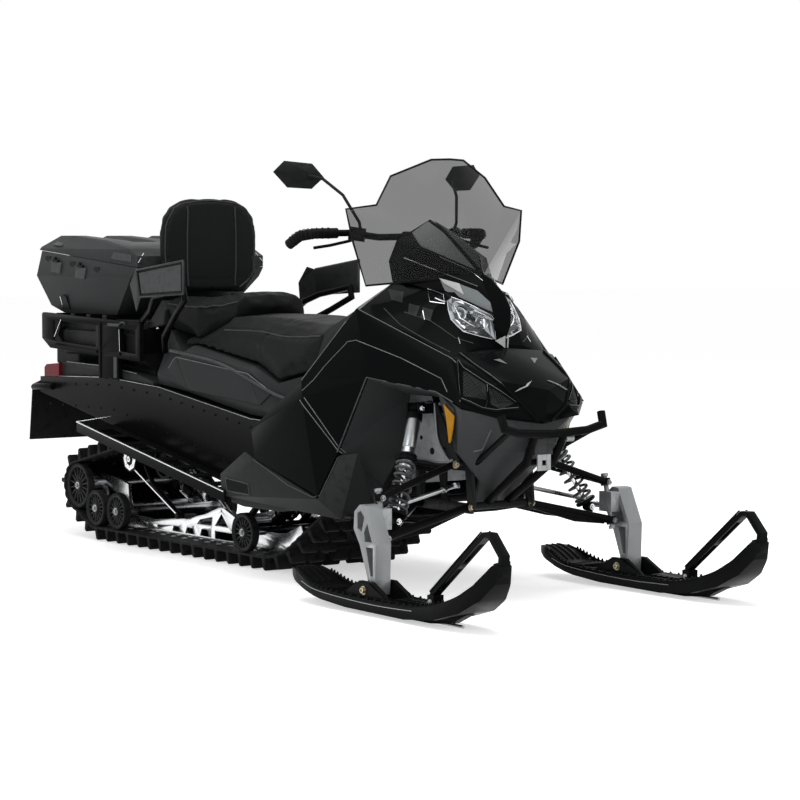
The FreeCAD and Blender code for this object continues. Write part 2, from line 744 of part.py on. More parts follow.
span = (eye_high - eye_low).Length
damper = fuse("damper", [rod("damper_rod", 8, along(0), along(span * 0.5)),
              rod("damper_body", 22, along(span * 0.45), along(span - 20)),
              rod("damper_top", 12, along(span - 22), along(span)),
              rod("damper_collar", 34, along(span * 0.52), along(span * 0.56)),
              rod("damper_seat", 34, along(16), along(24)),
              rod("damper_low_eye", shock_eye, (eye_low.x - 16, eye_low.y, eye_low.z), (eye_low.x + 16, eye_low.y, eye_low.z)),
              rod("damper_high_eye", 15, (eye_high.x - 18, eye_high.y, eye_high.z),
                  (eye_high.x + 18, eye_high.y, eye_high.z))])
hanger = fuse("hanger", [box("hanger_rear", 806, 814, 174, 240, 580, 612), box("hanger_front", 862, 870, 174, 240, 580, 612),
              rod("hanger_pin", 7, (800, 225, 598), (876, 225, 598))])


def coil(name, radius, wire, start, end, turns):
    helix = []
    steps = 10
    side = V(0, 0, 1).cross(way).normalize()
    other = way.cross(side)
    for i in range(turns * steps + 1):
        t = i / (turns * steps)
        a = 2 * math.pi * i / steps
        c = eye_low + way * (start + (end - start) * t)
        helix.append(c + side * (radius * math.cos(a)) + other * (radius * math.sin(a)))
    path = Part.makePolygon(helix)
    tangent = helix[1] - helix[0]
    square = Part.makePolygon([helix[0] + side * (wire * math.cos(b)) + way * (wire * math.sin(b)) for b in
                              (0.785, 2.356, 3.927, 5.498, 0.785)])
    pipe = Part.BRepOffsetAPI.MakePipeShell(path)
    pipe.add(square, False, False)
    pipe.setTransitionMode(1)
    pipe.build()
    pipe.makeSolid()
    f = doc.addObject("Part::Feature", name)
    f.Shape = pipe.shape()
    return f


left_coil = coil("left_coil", 28, 5, 30, span * 0.51, 6)
node(pair("front_shocks", fuse("damper_hung", [damper, hanger])), "front_shocks")
node(pair("shock_springs", left_coil), "shock_springs")

# Spindles: a cast leg with openings, a web, the kingpin and the steering arm
leg_side = [(1008, 88), (1042, 88), (1046, 208), (992, 320), (962, 322), (934, 300), (930, 246), (962, 200)]
leg_openings = [[(1018, 110), (1030, 110), (1030, 196), (994, 196)], [(988, 212), (1026, 212), (1000, 268), (984, 240)],
                [(950, 250), (972, 240), (986, 286), (966, 304), (950, 296)]]
leg = side_plate("leg", leg_side, stance_half - leg_half, stance_half + leg_half, (), leg_openings)
core = side_plate("leg_core", [(1004, 90), (1034, 90), (1034, 200), (986, 300), (950, 300), (940, 250), (970, 200)],
                  stance_half - 5, stance_half + 5)
foot = side_plate("leg_foot", [(996, 54), (1040, 54), (1044, 100), (1004, 100)], stance_half - leg_half,
                  stance_half + leg_half)
web = box("king_web", 940, 1000, king_y - 14, stance_half - leg_half + 1, 244, 308)
king = king_disc("kingpin", 8, 277, 160)
king_cap = king_disc("kingpin_cap", 12, 194, 10)
king_top = king_disc("kingpin_nut", 12, 360, 10)
rod_pin = V(878, num(king_y) - 10, 262)
arm_mid = on_kingpin(262)
steer_arm = fuse("steer_arm", [tube("steer_arm_bar", 9, [tuple(arm_mid), (rod_pin.x, rod_pin.y, rod_pin.z)]),
                 rod("steer_pin", 6, tuple(rod_pin - lean * 8), tuple(rod_pin + lean * 22))])
foot_bore = shaft("foot_bore", 9, ski_pin_x, stance_half - 60, stance_half + 60, ski_pin_z)
spindle_solid = fuse("spindle_solid", [leg, core, foot, web, king, king_cap, king_top, steer_arm])
spindle = cut("spindle_left_solid", spindle_solid, foot_bore)
node(spindle, "spindle_left")
node(mirrored(spindle, "spindle_right_solid"), "spindle_right")

# Tie rods: ball ends on the steering arm, running inboard to the steering centre
rod_eye_z = rod_pin + lean * 14
inner_end = V(878, 100, 350)
tie = fuse("tie_solid", [tube("tie_bar", 7, [tuple(rod_eye_z), tuple(inner_end)]),
           rod("tie_eye", 13, tuple(rod_eye_z - lean * 6), tuple(rod_eye_z + lean * 6)),
           rod("tie_inner", 12, tuple(inner_end - lean * 8), tuple(inner_end + lean * 8)),
           rod("tie_nut", 10, tuple(inner_end + (rod_eye_z - inner_end) * 0.12), tuple(inner_end + (rod_eye_z - inner_end) * 0.16))])
tie_left = cut("tie_left_solid", tie, rod("tie_bore", 7, tuple(rod_pin - lean * 20), tuple(rod_pin + lean * 40)))
node(tie_left, "tie_rod_left")
node(mirrored(tie_left, "tie_right_solid"), "tie_rod_right")

# Skis: upturned runner, keel, saddle with the pivot bolt, and the front loop
ski_side = [(606, 84), (640, 62), (720, 40), (820, 23), (950, 13), (1250, 10), (1390, 24), (1500, 54), (1578, 98),
            (1624, 148), (1638, 200), (1616, 203), (1556, 142), (1480, 94), (1380, 62), (1250, 44), (1000, 42),
            (820, 48), (740, 60), (690, 84), (650, 98), (612, 100)]
runner = side_plate("ski_runner", ski_side, stance_half - ski_half, stance_half + ski_half)
keel = side_plate("ski_keel", [(800, 22), (900, 4), (1000, 0), (1300, 0), (1400, 10), (1480, 46), (1300, 30), (900, 30)],
                  stance_half - 16, stance_half + 16)
cheek = side_plate("ski_cheek", [(900, 36), (1150, 36), (1110, 66), (1050, 96), (985, 96), (940, 66)],
                   stance_half + leg_half + 6, stance_half + leg_half + 20)
cheek_in = side_plate("ski_cheek_in", [(900, 36), (1150, 36), (1110, 66), (1050, 96), (985, 96), (940, 66)],
                      stance_half - leg_half - 20, stance_half - leg_half - 6)
strap = [(1284, 40), (1300, 94), (1548, 290), (1580, 290), (1638, 230), (1632, 168), (1616, 172), (1621, 224),
         (1573, 275), (1555, 275), (1313, 84), (1303, 40)]
strap_half = size("ski_loop_half_width", 15)
strap_solid = side_plate("ski_strap", strap, stance_half - strap_half, stance_half + strap_half)
slots = []
for i, (x0, x1) in enumerate(((1334, 1424), (1446, 1526))):
    z0, z1 = 94 + 0.79 * (x0 - 1300), 94 + 0.79 * (x1 - 1300)
    slots.append(side_plate("strap_slot" + str(i), [(x0, z0 - 40), (x1, z1 - 40), (x1, z1 + 20), (x0, z0 + 20)],
                 stance_half - strap_half + 6, stance_half + strap_half - 6))
loop = cut("ski_loop", strap_solid, group("strap_slots", slots))
tip_y = size("ski_tip_half_width", 20)
tail_y = size("ski_tail_half_width", 48)
corner_cuts = []
for i, sign in enumerate((1, -1)):
    nose_line = [(1400, ski_half), (1490, ski_half - 6), (1560, ski_half - 20), (1612, ski_half - 40), (1640, tip_y)]
    tail_line = [(592, tail_y - 22), (620, tail_y - 4), (660, tail_y + 8), (780, ski_half)]
    for end, line, x0, x1 in (("nose", nose_line, 1400, 1680), ("tail", tail_line, 580, 780)):
        rim = [(x, stance_half + y * sign) for x, y in line]
        far = [(x1, stance_half + (ski_half + 30) * sign), (x0, stance_half + (ski_half + 30) * sign)]
        close = [(1680, stance_half + tip_y * sign)] if end == "nose" else []
        start = [(580, stance_half + (tail_y - 30) * sign)] if end == "tail" else []
        corner_cuts.append(flat_plate(end + "_cut" + str(i), start + rim + close + far, -10, 320))
runner_shaped = cut("runner_shaped", runner, group("ski_corner_cuts", corner_cuts))
bolt = shaft("ski_bolt", 8, ski_pin_x, stance_half - 54, stance_half + 54, ski_pin_z)
bolt_head = shaft("ski_bolt_head", 14, ski_pin_x, stance_half + 44, stance_half + 54, ski_pin_z)
bolt_nut = shaft("ski_bolt_nut", 14, ski_pin_x, stance_half - 54, stance_half - 44, ski_pin_z)
ski = fuse("ski_left_solid", [runner_shaped, keel, cheek, cheek_in, loop, bolt, bolt_head, bolt_nut])
node(ski, "ski_left")
node(mirrored(ski, "ski_right_solid"), "ski_right")

# Steering post with its bearing on the chassis, on a tilted line
post_low = V(720, 0, 845)
post_high = V(552, 0, 1085)
post_way = (post_high - post_low).normalize()


def on_post(distance):
    return tuple(post_high + post_way * distance)


column = cut("column_solid", fuse("column", [rod("column_tube", 24, on_post(-290), on_post(-110)),
             rod("column_collar", 32, on_post(-134), on_post(-110))]),
             rod("column_bore", 15, on_post(-320), on_post(-80)))
node(group("frame_and_post", [tube_group, column]), "frame_tubes")

# Handlebar: post, riser, bar with hooked ends
riser_plate = fuse("riser", [rod("post", 14, on_post(-250), on_post(6)),
                   rod("post_flange", 26, on_post(-104), on_post(-96)),
                   fuse("riser_legs", [tube("riser_left", 10, [(560, 24, 1068), (553, 46, 1128)]),
                                       tube("riser_right", 10, [(560, -24, 1068), (553, -46, 1128)]),
                                       rod("riser_foot", 15, (560, -36, 1070), (560, 36, 1070)),
                                       rod("riser_clamp", 17, (553, -64, 1130), (553, 64, 1130))])])
bar_path = [(553, 0, 1130), (553, 64, 1130), (520, 140, 1128), (458, 216, 1142), (438, 335, 1140), (395, 362, 1132),
            (350, 376, 1104)]
bar = tube("bar", bar_radius, bar_path)
handlebar = fuse("handlebar_solid", [riser_plate, bar, mirrored(bar, "bar_right")])
node(handlebar, "handlebar")

# Grips, switch blocks and levers sit on the bar
grip_skin = tube("grip_skin", grip_radius, [(451, 256, 1141.4), (438, 335, 1140), (395, 362, 1132), (350, 376, 1104)])
bar_fit = size("bar_clearance", 0.4)
grip_core = tube("grip_core", bar_radius + bar_fit, bar_path[1:-1] + [(341, 378.8, 1098.4)])
grip = cut("grip", grip_skin, grip_core)
switch = rod("switch_solid", 22, (492, 174, 1134.2), (459, 215, 1141.8))
lever = tube("lever", 5, [(488, 190, 1130), (484, 232, 1116), (474, 300, 1102), (458, 352, 1094)])
control = cut("control_left", fuse("control_solid", [switch, lever]),
              tube("switch_bore", bar_radius + bar_fit, bar_path[1:-1]))
node(group("grips", [grip, mirrored(grip, "grip_right")]), "grips")
node(group("bar_controls", [control, mirrored(control, "control_right")]), "bar_controls")

# Mirrors on bent stems
stem = tube("mirror_stem", 5, [(484, 184, 1136), (490, 196, 1176), (446, 230, 1264), (380, 262, 1316), (350, 300, 1328)])
head = facet_solid("mirror_head", [(362, 246, 1322), (352, 285, 1366), (338, 385, 1374), (326, 420, 1338), (336, 372, 1288),
                   (356, 290, 1284), (326, 288, 1338), (308, 375, 1348), (315, 350, 1302)],
                   [(0, 1, 6), (1, 2, 7, 6), (2, 3, 7), (3, 4, 8, 7), (4, 5, 8), (5, 0, 6, 8), (6, 7, 8), (0, 5, 4, 3, 2, 1)])
mirror = cut("mirror_left", fuse("mirror_solid", [stem, head]), rod("mirror_seat", 22, (492, 174, 1134.2), (459, 215, 1141.8)))
node(group("mirrors", [mirror, mirrored(mirror, "mirror_right")]), "mirrors")

# Side panels: the glossy folded sheets each side of the hood
side_corners = [(189, 420, 502), (211, 420, 407), (566, 415, 309), (637, 385, 453), (740, 345, 691), (989, 262, 655),
                (1092, 246, 612), (986, 196, 753), (650, 322, 905), (455, 398, 672), (490, 420, 620)]
side_facets = [(0, 1, 10), (1, 2, 10), (2, 3, 10), (3, 4, 10), (10, 4, 9), (4, 8, 9), (4, 5, 8), (5, 7, 8), (5, 6, 7),
               (0, 10, 9)]
side = folded("side_left", side_corners, side_facets, (0, -8, 0))
node(pair("side_panels", side), "side_panels")

# Lower side panels: grey toe shields and the walls under the side panels
low_corners = [(150, 420, 424), (7, 424, 342), (14, 424, 270), (648, 380, 240), (720, 300, 262), (700, 352, 452),
               (642, 383, 442), (566, 413, 300), (211, 419, 400)]
low_facets = [(1, 2, 0), (2, 8, 0), (2, 7, 8), (2, 3, 7), (3, 6, 7), (3, 5, 6), (3, 4, 5)]
low_side = cut("lower_left", folded("lower_sheet", low_corners, low_facets, (0, -8, 0)), board_solid)
belly = cross_plate("belly_floor", both_sides([(0, 236), (210, 236), (372, 246), (372, 252), (210, 242), (0, 242)]), 485, 690)
node(group("lower_panel_set", [low_side, mirrored(low_side, "lower_right"), belly]), "lower_panels")

# Arch liners: rear wall with roof, and the front wall ahead of the shocks
liner = folded("liner_rear", [(640, 374, 455), (740, 338, 686), (984, 252, 650), (984, 176, 632), (740, 176, 632),
               (690, 176, 300), (690, 296, 264)],
               [(1, 4, 3, 2), (0, 6, 5), (0, 5, 4), (0, 4, 1)], (-5, 0, 5))
front_wall = folded("liner_front", [(986, 252, 650), (986, 176, 632), (1045, 238, 604), (1012, 204, 472), (991, 176, 470)],
                    [(0, 1, 4), (0, 4, 3), (0, 3, 2)], (5, 0, 0))
liners = group("liner_set", [cut("liner_rear_open", liner, tube_space), front_wall])
node(pair("arch_liners", liners), "arch_liners")

# Chin: the grey faceted lower front
chin_half = [(1186, 0, 556), (1170, 120, 574), (1086, 236, 604), (990, 236, 640), (1150, 0, 470), (1090, 120, 470),
             (1012, 200, 470), (1022, 0, 372), (990, 90, 372), (940, 0, 288), (930, 60, 300)]
chin_left = folded("chin_half", chin_half, [(0, 1, 4), (1, 5, 4), (1, 2, 5), (2, 6, 5), (2, 3, 6), (4, 5, 7), (5, 8, 7),
                   (5, 6, 8), (7, 8, 9), (8, 10, 9)], (-10, 0, 4))
chin_whole = fuse("chin_whole", [chin_left, mirrored(chin_left, "chin_right")])
front_walls = pair("front_walls", front_wall)
chin = cut("chin_solid", chin_whole, group("chin_cuts", [strut_space, bulkhead, front_walls]))
node(chin, "chin")

# Nose: glossy ridge between lamps and bumper
nose_half = [(1005, 0, 783), (979, 160, 772), (990, 198, 758), (1215, 0, 662), (1150, 130, 690), (1195, 0, 562),
             (1178, 150, 578), (1090, 240, 610)]
nose_left = folded("nose_half", nose_half, [(0, 3, 4), (0, 4, 1), (1, 4, 2), (3, 5, 6), (3, 6, 4), (4, 6, 7), (4, 7, 2)],
                   (-12, 0, -2))
nose_whole = fuse("nose_whole", [nose_left, mirrored(nose_left, "nose_right")])

# Headlamps: faceted lens blocks
lamp = facet_solid("lamp_left", [(852, 119, 953), (852, 119, 911), (893, 72, 848), (962, 8, 808), (967, 8, 890),
                   (800, 119, 953), (800, 119, 911), (840, 72, 848), (890, 8, 808), (890, 8, 890)],
                   [(0, 1, 2, 3, 4), (9, 8, 7, 6, 5), (0, 5, 6, 1), (1, 6, 7, 2), (2, 7, 8, 3), (3, 8, 9, 4), (4, 9, 5, 0)])
lamps = pair("headlamp_pair", lamp)
node(lamps, "headlamps")

# Hood: solid upper body between the side panels, open where the lamps sit
hood_block = loft("hood_block", [
    (440, both_sides([(262, 700), (280, 790), (170, 900), (0, 930)])),
    (640, both_sides([(284, 720), (308, 896), (170, 985), (0, 1010)])),
    (850, both_sides([(240, 730), (240, 822), (130, 945), (0, 975)])),
    (975, both_sides([(180, 740), (188, 756), (90, 788), (0, 795)]))])
post_space = rod("post_space", 33, (741, 0, 815), (530, 0, 1116))
hood = cut("hood_solid", hood_block, group("hood_openings", [fuse("lamp_and_post", [lamps, post_space]), tube_space]))
node(hood, "hood")
nose = cut("nose_solid", nose_whole, group("nose_cuts", [fuse("nose_over", [hood_block, chin_whole]), pair("side_space", side)]))
node(nose, "nose")

# Instrument pod: a wedge over the hood
pod = loft("pod_block", [
    (612, both_sides([(150, 992), (160, 1030), (80, 1100), (0, 1187)])),
    (690, both_sides([(160, 985), (160, 1060), (80, 1105), (0, 1142)])),
    (850, both_sides([(70, 955), (72, 985), (40, 1020), (0, 1044)])),
    (962, both_sides([(8, 905), (10, 914), (6, 922), (0, 928)]))])

# Windshield: faceted clear sheet
screen_half = [(888, 0, 1009), (715, 0, 1376), (700, 64, 1374), (652, 189, 1321), (668, 256, 1229), (638, 352, 1216),
               (650, 334, 1115), (637, 275, 975)]
screen_left = folded("screen_half", screen_half, [(0, 1, 2), (0, 2, 3), (0, 3, 4), (0, 4, 5), (0, 5, 6), (0, 6, 7)],
                     (-4, 0, 0))
screen = fuse("screen_solid", [screen_left, mirrored(screen_left, "screen_right")])
node(screen, "windshield")
pod_under = fuse("pod_under", [hood_block, lamps, post_space])
node(cut("pod_solid", pod, group("pod_cuts", [pod_under, screen])), "gauge_pod")

# Console between hood and seat
console = loft("console_solid", [
    (285.4, both_sides([(215, 560), (232, 700), (190, 820), (0, 840)])),
    (439.7, both_sides([(262, 560), (280, 780), (165, 898), (0, 928)]))])
node(console, "console")

# Seat base, cushions and backrest
seat_gap = size("cushion_gap", 0.5)
seat_base = loft("seat_base_solid", [
    (-690, both_sides([(245, 606), (250, 642), (225, 700), (190, 798), (0, 798)])),
    (-560, both_sides([(245, 594), (252, 620), (250, 700), (226, 722), (0, 744)])),
    (-480, both_sides([(245, 586), (252, 612), (251, 735), (226, 749), (0, 749)])),
    (-85, both_sides([(245, 528), (252, 555), (250, 680), (228, 692), (0, 692)])),
    (70, both_sides([(240, 520), (250, 540), (240, 600), (232, 640), (0, 640)])),
    (285, both_sides([(215, 512), (214, 540), (210, 600), (205, 689), (0, 689)]))])
node(seat_base, "seat_base")
driver_seat = loft("driver_seat_solid", [
    (-560, both_sides([(224, 744 + seat_gap), (222, 755), (216, 770), (190, 782), (0, 782)])),
    (-480, both_sides([(226, 749 + seat_gap), (224, 758), (216, 768), (190, 772 - seat_gap), (0, 772 - seat_gap)])),
    (-325, both_sides([(226, 727), (222, 760), (210, 800), (150, 845 - seat_gap), (0, 845 - seat_gap)])),
    (-318, both_sides([(226, 726), (222, 765), (205, 810), (172, 846), (0, 857)])),
    (-85, both_sides([(228, 692 + seat_gap), (222, 760), (208, 815), (172, 850), (0, 861)])),
    (70, both_sides([(240, 640 + seat_gap), (232, 690), (210, 800), (185, 840), (0, 856)])),
    (285, both_sides([(206, 689 + seat_gap), (212, 760), (203, 810), (170, 830), (0, 842)]))])
node(driver_seat, "driver_seat")
passenger_seat = loft("passenger_seat_solid", [
    (-690, both_sides([(190, 800), (210, 860), (216, 895), (190, 917), (0, 905)])),
    (-480, both_sides([(205, 772), (214, 800), (212, 890), (190, 912), (0, 915)])),
    (-325, both_sides([(140, 845), (148, 862), (140, 910), (110, 935), (0, 942)]))])
node(passenger_seat, "passenger_seat")
backrest_half = [(150, 925), (197, 990), (203, 1060), (203, 1150), (190, 1205), (160, 1243), (115, 1266), (60, 1274),
                 (0, 1276)]
backrest = cross_plate("backrest_pad", both_sides(backrest_half), -765, -724)
node(backrest, "backrest")

# Passenger grab bars and backrest struts, with hand deflectors
strut_plate = side_plate("back_strut", [(-792, 806), (-742, 806), (-730, 925 - seat_gap), (-762, 925 - seat_gap)], 108, 130)
strut_cross = box("back_cross", -792, -742, -130, 130, 799.2, 811)
grab = tube("grab_left", 11, [(-770, 266, 826), (-650, 300, 872), (-540, 350.7, 922), (-345, 350.7, 950), (-335, 350.7, 915),
            (-430, 325, 868), (-620, 262, 780), (-660, 236, 722)])
back_solid = fuse("back_frame_solid", [strut_plate, mirrored(strut_plate, "back_strut_right"), strut_cross])
grab_bar_parts = [grab, back_solid]
shield = folded("shield_left", [(-315, 366, 1048), (-315, 366, 935), (-588, 376, 921), (-608, 376, 1013), (-690, 362, 963),
                (-640, 366, 1022), (-662, 352, 866)], [(0, 1, 2, 3), (3, 2, 4), (3, 4, 5), (2, 6, 4)], (0, -5, 0))
node(pair("hand_deflectors", shield), "hand_deflectors")

# Cargo rack: side frames with windows and posts, cross bars and the deck slats
rack_y = size("rack_half_width", 272)
frame_side = [(-1000, 615.3), (-915, 610.8), (-915, 690), (-760, 684), (-760, 822), (-1486, 846), (-1494, 840),
              (-1494, 748), (-1430, 712), (-1060, 696), (-1060, 613.8)]
frame_windows = [[(-1402, 817), (-1402, 741), (-1080, 726), (-1080, 806)], [(-900, 800), (-900, 716), (-790, 710), (-790, 796)]]
frame_left = side_plate("rack_frame", frame_side, rack_y - 9, rack_y + 9, (), frame_windows)
bars = [box("rack_bar_rear", -1490, -1466, -rack_y, rack_y, 800, 838),
        box("rack_bar_low", -1440, -1420, -rack_y, rack_y, 722, 738),
        box("rack_bar_front", -798, -764, -rack_y, rack_y, 712, 799.2)]
slats = [box("rack_slat" + str(i), x - 16, x + 16, -rack_y, rack_y, z, box_floor - 0.3)
         for i, (x, z) in enumerate(((-1380, 812), (-1270, 814), (-1150, 812), (-1030, 808)))]
node(fuse("rack_solid", [frame_left, mirrored(frame_left, "rack_frame_right")] + bars + slats), "cargo_rack")
grab_seated = cut("grab_seated", grab_bar_parts[0], frame_left)
node(group("grab_bar_set", [grab_seated, mirrored(grab_seated, "grab_right"), grab_bar_parts[1]]), "grab_bars")

# Storage body under the rack
storage = loft("storage_solid", [
    (-1380, both_sides([(195, 605), (195, 664), (250, 700), (250, 785), (0, 795)])),
    (-1000, both_sides([(195, 616), (195, 664), (252, 700), (252, 785), (0, 795)])),
    (-802, both_sides([(195, 606), (195, 650), (250, 690), (245, 770), (0, 785)]))])
node(storage, "rack_storage")

# Rear cover: side ledges on the tunnel and the tail block between them
ledge = side_plate("ledge", [(-1373, 605), (-1000, 615.4), (-700, 598.7), (-700, 612), (-812, 637), (-1064, 656),
                   (-1330, 661), (-1373, 658)], 198, 262)
tail_block = side_plate("tail_block", [(-1500, 601.2), (-1388, 604.4), (-1388, 650), (-1500, 640)], -222, 222)
node(group("rear_cover_set", [ledge, mirrored(ledge, "ledge_right"), tail_block]), "rear_cover")
tail = box("tail_lamp", -1512, -1500.3, -90, 90, 606, 634)
tail_side = side_plate("tail_side", [(-1486, 601.6), (-1373.3, 604.8), (-1373.3, 656), (-1470, 648), (-1486, 636)], 224, 276)
node(group("tail_lamps", [tail, tail_side, mirrored(tail_side, "tail_side_right")]), "tail_lamps")

# Cargo box: side outline crossed with end outline, hollowed from above
rim_slope = -0.083


def rim_z(x, rise=0):
    return box_rim + (x + 1160) * rim_slope + rise


def crossed(name, side_points, end_points, y, x0, x1):
    c = doc.addObject("Part::MultiCommon", name)
    c.Shapes = [side_plate(name + "_side", side_points, -y, y), cross_plate(name + "_end", both_sides(end_points), x0, x1)]
    return c


w = box_wall
tub_side = [(box_rear + 143, box_floor), (box_rear + 56, box_floor + 26), (box_rear, 985), (box_rear + 26, rim_z(-1517)),
            (box_front, rim_z(-795)), (box_front - 36, 985), (box_front - 205, box_floor)]
tub_hollow = [(box_rear + 145, box_floor + w), (box_rear + 60, box_floor + 31), (box_rear + w, 985),
              (box_rear + 31, rim_z(-1512, 30)), (box_front - w, rim_z(-800, 30)), (box_front - 42, 985),
              (box_front - 209, box_floor + w)]
tub_end = [(box_half - 42, box_floor - 10), (box_half, 985), (box_half - 14, 1120), (0, 1120)]
hollow_end = [(box_half - 46, box_floor), (box_half - w, 985), (box_half - 14 - w, 1150), (0, 1150)]
tub = cut("cargo_tub", crossed("box_outer", tub_side, tub_end, box_half + 20, box_rear - 10, box_front + 10),
          crossed("box_inner", tub_hollow, hollow_end, box_half + 20, box_rear - 10, box_front + 10))

# Hinge: pins between lugs along the left rim, tilted like the rim
hinge_y = box_half + 4


def hinge_at(x):
    return (x, hinge_y, num(rim_z(x, 6)))


lug_places = (-1400, -1291, -1079, -970)
hinge_lugs = [box("hinge_lug" + str(i), x, x + 8, box_half - 3, hinge_y + 6, rim_z(x, -22), rim_z(x, 11))
              for i, x in enumerate(lug_places)]
hinge_feet = [box("hinge_foot" + str(i), x, x + 8, box_half - 12, hinge_y, rim_z(x, -22), rim_z(x, -4))
              for i, x in enumerate(lug_places)]
hinge_rods = [rod("hinge_rod" + str(i), 4, hinge_at(x), hinge_at(x + 109)) for i, x in enumerate((-1396, -1075))]
node(fuse("cargo_box_solid", [tub] + hinge_lugs + hinge_feet + hinge_rods), "cargo_box")

# Lid: a shallow cap with three raised ribs along its top
lid_y = box_half - 6
lid_front = box_front + 2
lid_side = [(box_rear + 16, rim_z(-1527, 2)), (box_rear + 16, rim_z(-1527, 14)), (-1440, 1137), (-1340, 1137),
            (-1060, 1118), (-860, 1090), (lid_front, 1062), (lid_front, rim_z(-793, 2))]
lid_hollow = [(box_rear + 22, rim_z(-1521, -10)), (box_rear + 22, rim_z(-1521, 12)), (-1438, 1131), (-1342, 1131),
              (-1062, 1112), (-862, 1084), (lid_front - 6, 1057), (lid_front - 6, rim_z(-799, -10))]
ribs = [(0, 1137), (26, 1137), (50, 1113), (150, 1113), (174, 1137), (224, 1137)]
lid_end = [(lid_y, 1020)] + [(lid_y, 1086)] + ribs[::-1]
hollow_ribs = [(0, 1131), (23, 1131), (47, 1107), (153, 1107), (177, 1131), (221, 1131)]
inner_end = [(lid_y - w, 1000)] + [(lid_y - w, 1084)] + hollow_ribs[::-1]
lid_shell = cut("lid_shell", crossed("lid_outer", lid_side, lid_end, box_half, box_rear, box_front + 20),
                crossed("lid_inner", lid_hollow, inner_end, box_half, box_rear, box_front + 20))
knuckles = []
for i, x in enumerate((-1370, -1049)):
    knuckles.append(rod("knuckle" + str(i), 8, hinge_at(x), hinge_at(x + 60)))
    knuckles.append(box("knuckle_arm" + str(i), x + 2, x + 58, lid_y - 3, hinge_y - 1, rim_z(x + 30, 6), rim_z(x + 30, 13)))
knuckle_bores = [rod("knuckle_bore" + str(i), 4.3, hinge_at(x), hinge_at(x + 80)) for i, x in enumerate((-1380, -1059))]
lid = cut("lid_solid", fuse("lid_hinged", [lid_shell] + knuckles), group("lid_bores", knuckle_bores))
node(lid, "cargo_lid")

# Snow flap and rear bumper
flap_plate = side_plate("flap_plate", [(-1646, 350), (-1640, 350), (-1614, 543), (-1525.5, 588), (-1525.5, 597), (-1620, 549)],
                        -258, 258)
hoop_radius = size("rear_hoop_radius", 13)
hoop_y = tunnel_half + hoop_radius + 0.4
hoop_rear = tube("rear_hoop", hoop_radius, [(-1400, hoop_y, 566), (-1542, hoop_y, 560), (-1568, 200, 588), (-1568, 0, 588)])
tongue = flat_plate("hitch_tongue", [(-1610, -22), (-1600, -34), (-1530, -34), (-1530, 34), (-1600, 34), (-1610, 22)],
                    598, 610, [(-1588, 0, 9.5)])
rear_bumper = fuse("rear_bumper_solid", [hoop_rear, mirrored(hoop_rear, "rear_hoop_right"), tongue])
node(rear_bumper, "rear_bumper")
node(cut("flap_cut", flap_plate, rear_bumper), "snow_flap")

doc.recompute()
os.makedirs("parts", exist_ok=True)
for old in os.listdir("parts"):
    os.remove(os.path.join("parts", old))
for obj in nodes:
    shape = obj.Shape
    bad = "Invalid" in obj.State or "Error" in obj.State
    if bad or shape.isNull() or not shape.isValid() or not shape.Solids:
        print("BAD", obj.Label, obj.State, shape.isNull() or shape.isValid())
        continue
    shape.exportStep(os.path.join("parts", obj.Label + ".step"))
box_all = nodes[0].Shape.BoundBox
for obj in nodes:
    box_all.add(obj.Shape.BoundBox)
print(len(nodes), "nodes", box_all)
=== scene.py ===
import json
import math
import bmesh
import bpy
import numpy as np
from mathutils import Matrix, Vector
from mathutils.bvhtree import BVHTree

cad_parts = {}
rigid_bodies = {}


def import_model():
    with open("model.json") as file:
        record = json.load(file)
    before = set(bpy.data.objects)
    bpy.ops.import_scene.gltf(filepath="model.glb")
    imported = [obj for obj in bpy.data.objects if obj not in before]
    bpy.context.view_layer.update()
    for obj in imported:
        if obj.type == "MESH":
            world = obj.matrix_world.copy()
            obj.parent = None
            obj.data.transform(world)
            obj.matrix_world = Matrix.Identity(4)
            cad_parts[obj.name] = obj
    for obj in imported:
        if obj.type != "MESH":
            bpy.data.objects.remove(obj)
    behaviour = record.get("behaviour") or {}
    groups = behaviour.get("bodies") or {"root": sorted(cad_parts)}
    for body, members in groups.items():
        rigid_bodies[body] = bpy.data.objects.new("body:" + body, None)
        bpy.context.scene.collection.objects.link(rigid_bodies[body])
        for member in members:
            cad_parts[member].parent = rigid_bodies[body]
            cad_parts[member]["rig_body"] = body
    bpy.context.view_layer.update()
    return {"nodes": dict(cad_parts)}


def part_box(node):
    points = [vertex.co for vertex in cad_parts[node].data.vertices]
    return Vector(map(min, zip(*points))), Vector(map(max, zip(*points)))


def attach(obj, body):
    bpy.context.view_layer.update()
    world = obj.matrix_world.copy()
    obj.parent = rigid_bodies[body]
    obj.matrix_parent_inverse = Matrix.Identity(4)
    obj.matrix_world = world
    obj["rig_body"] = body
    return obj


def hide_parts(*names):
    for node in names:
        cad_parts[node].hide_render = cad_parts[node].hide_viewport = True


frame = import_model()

bl_info = {
    "name": "Touring Snowmobile",
    "version": (1, 0, 0),
    "blender": (4, 5, 0),
    "location": "View3D > Sidebar > Snowmobile",
    "description": "Dresses the frame of a two-seat touring snowmobile, piece by piece",
    "category": "Object",
}

MM = 0.001
SIDES = (("left", 1), ("right", -1))


def color_property(name, value, note):
    return bpy.props.FloatVectorProperty(name=name, description=note, default=value, size=3, min=0, max=1,
                                         subtype="COLOR")


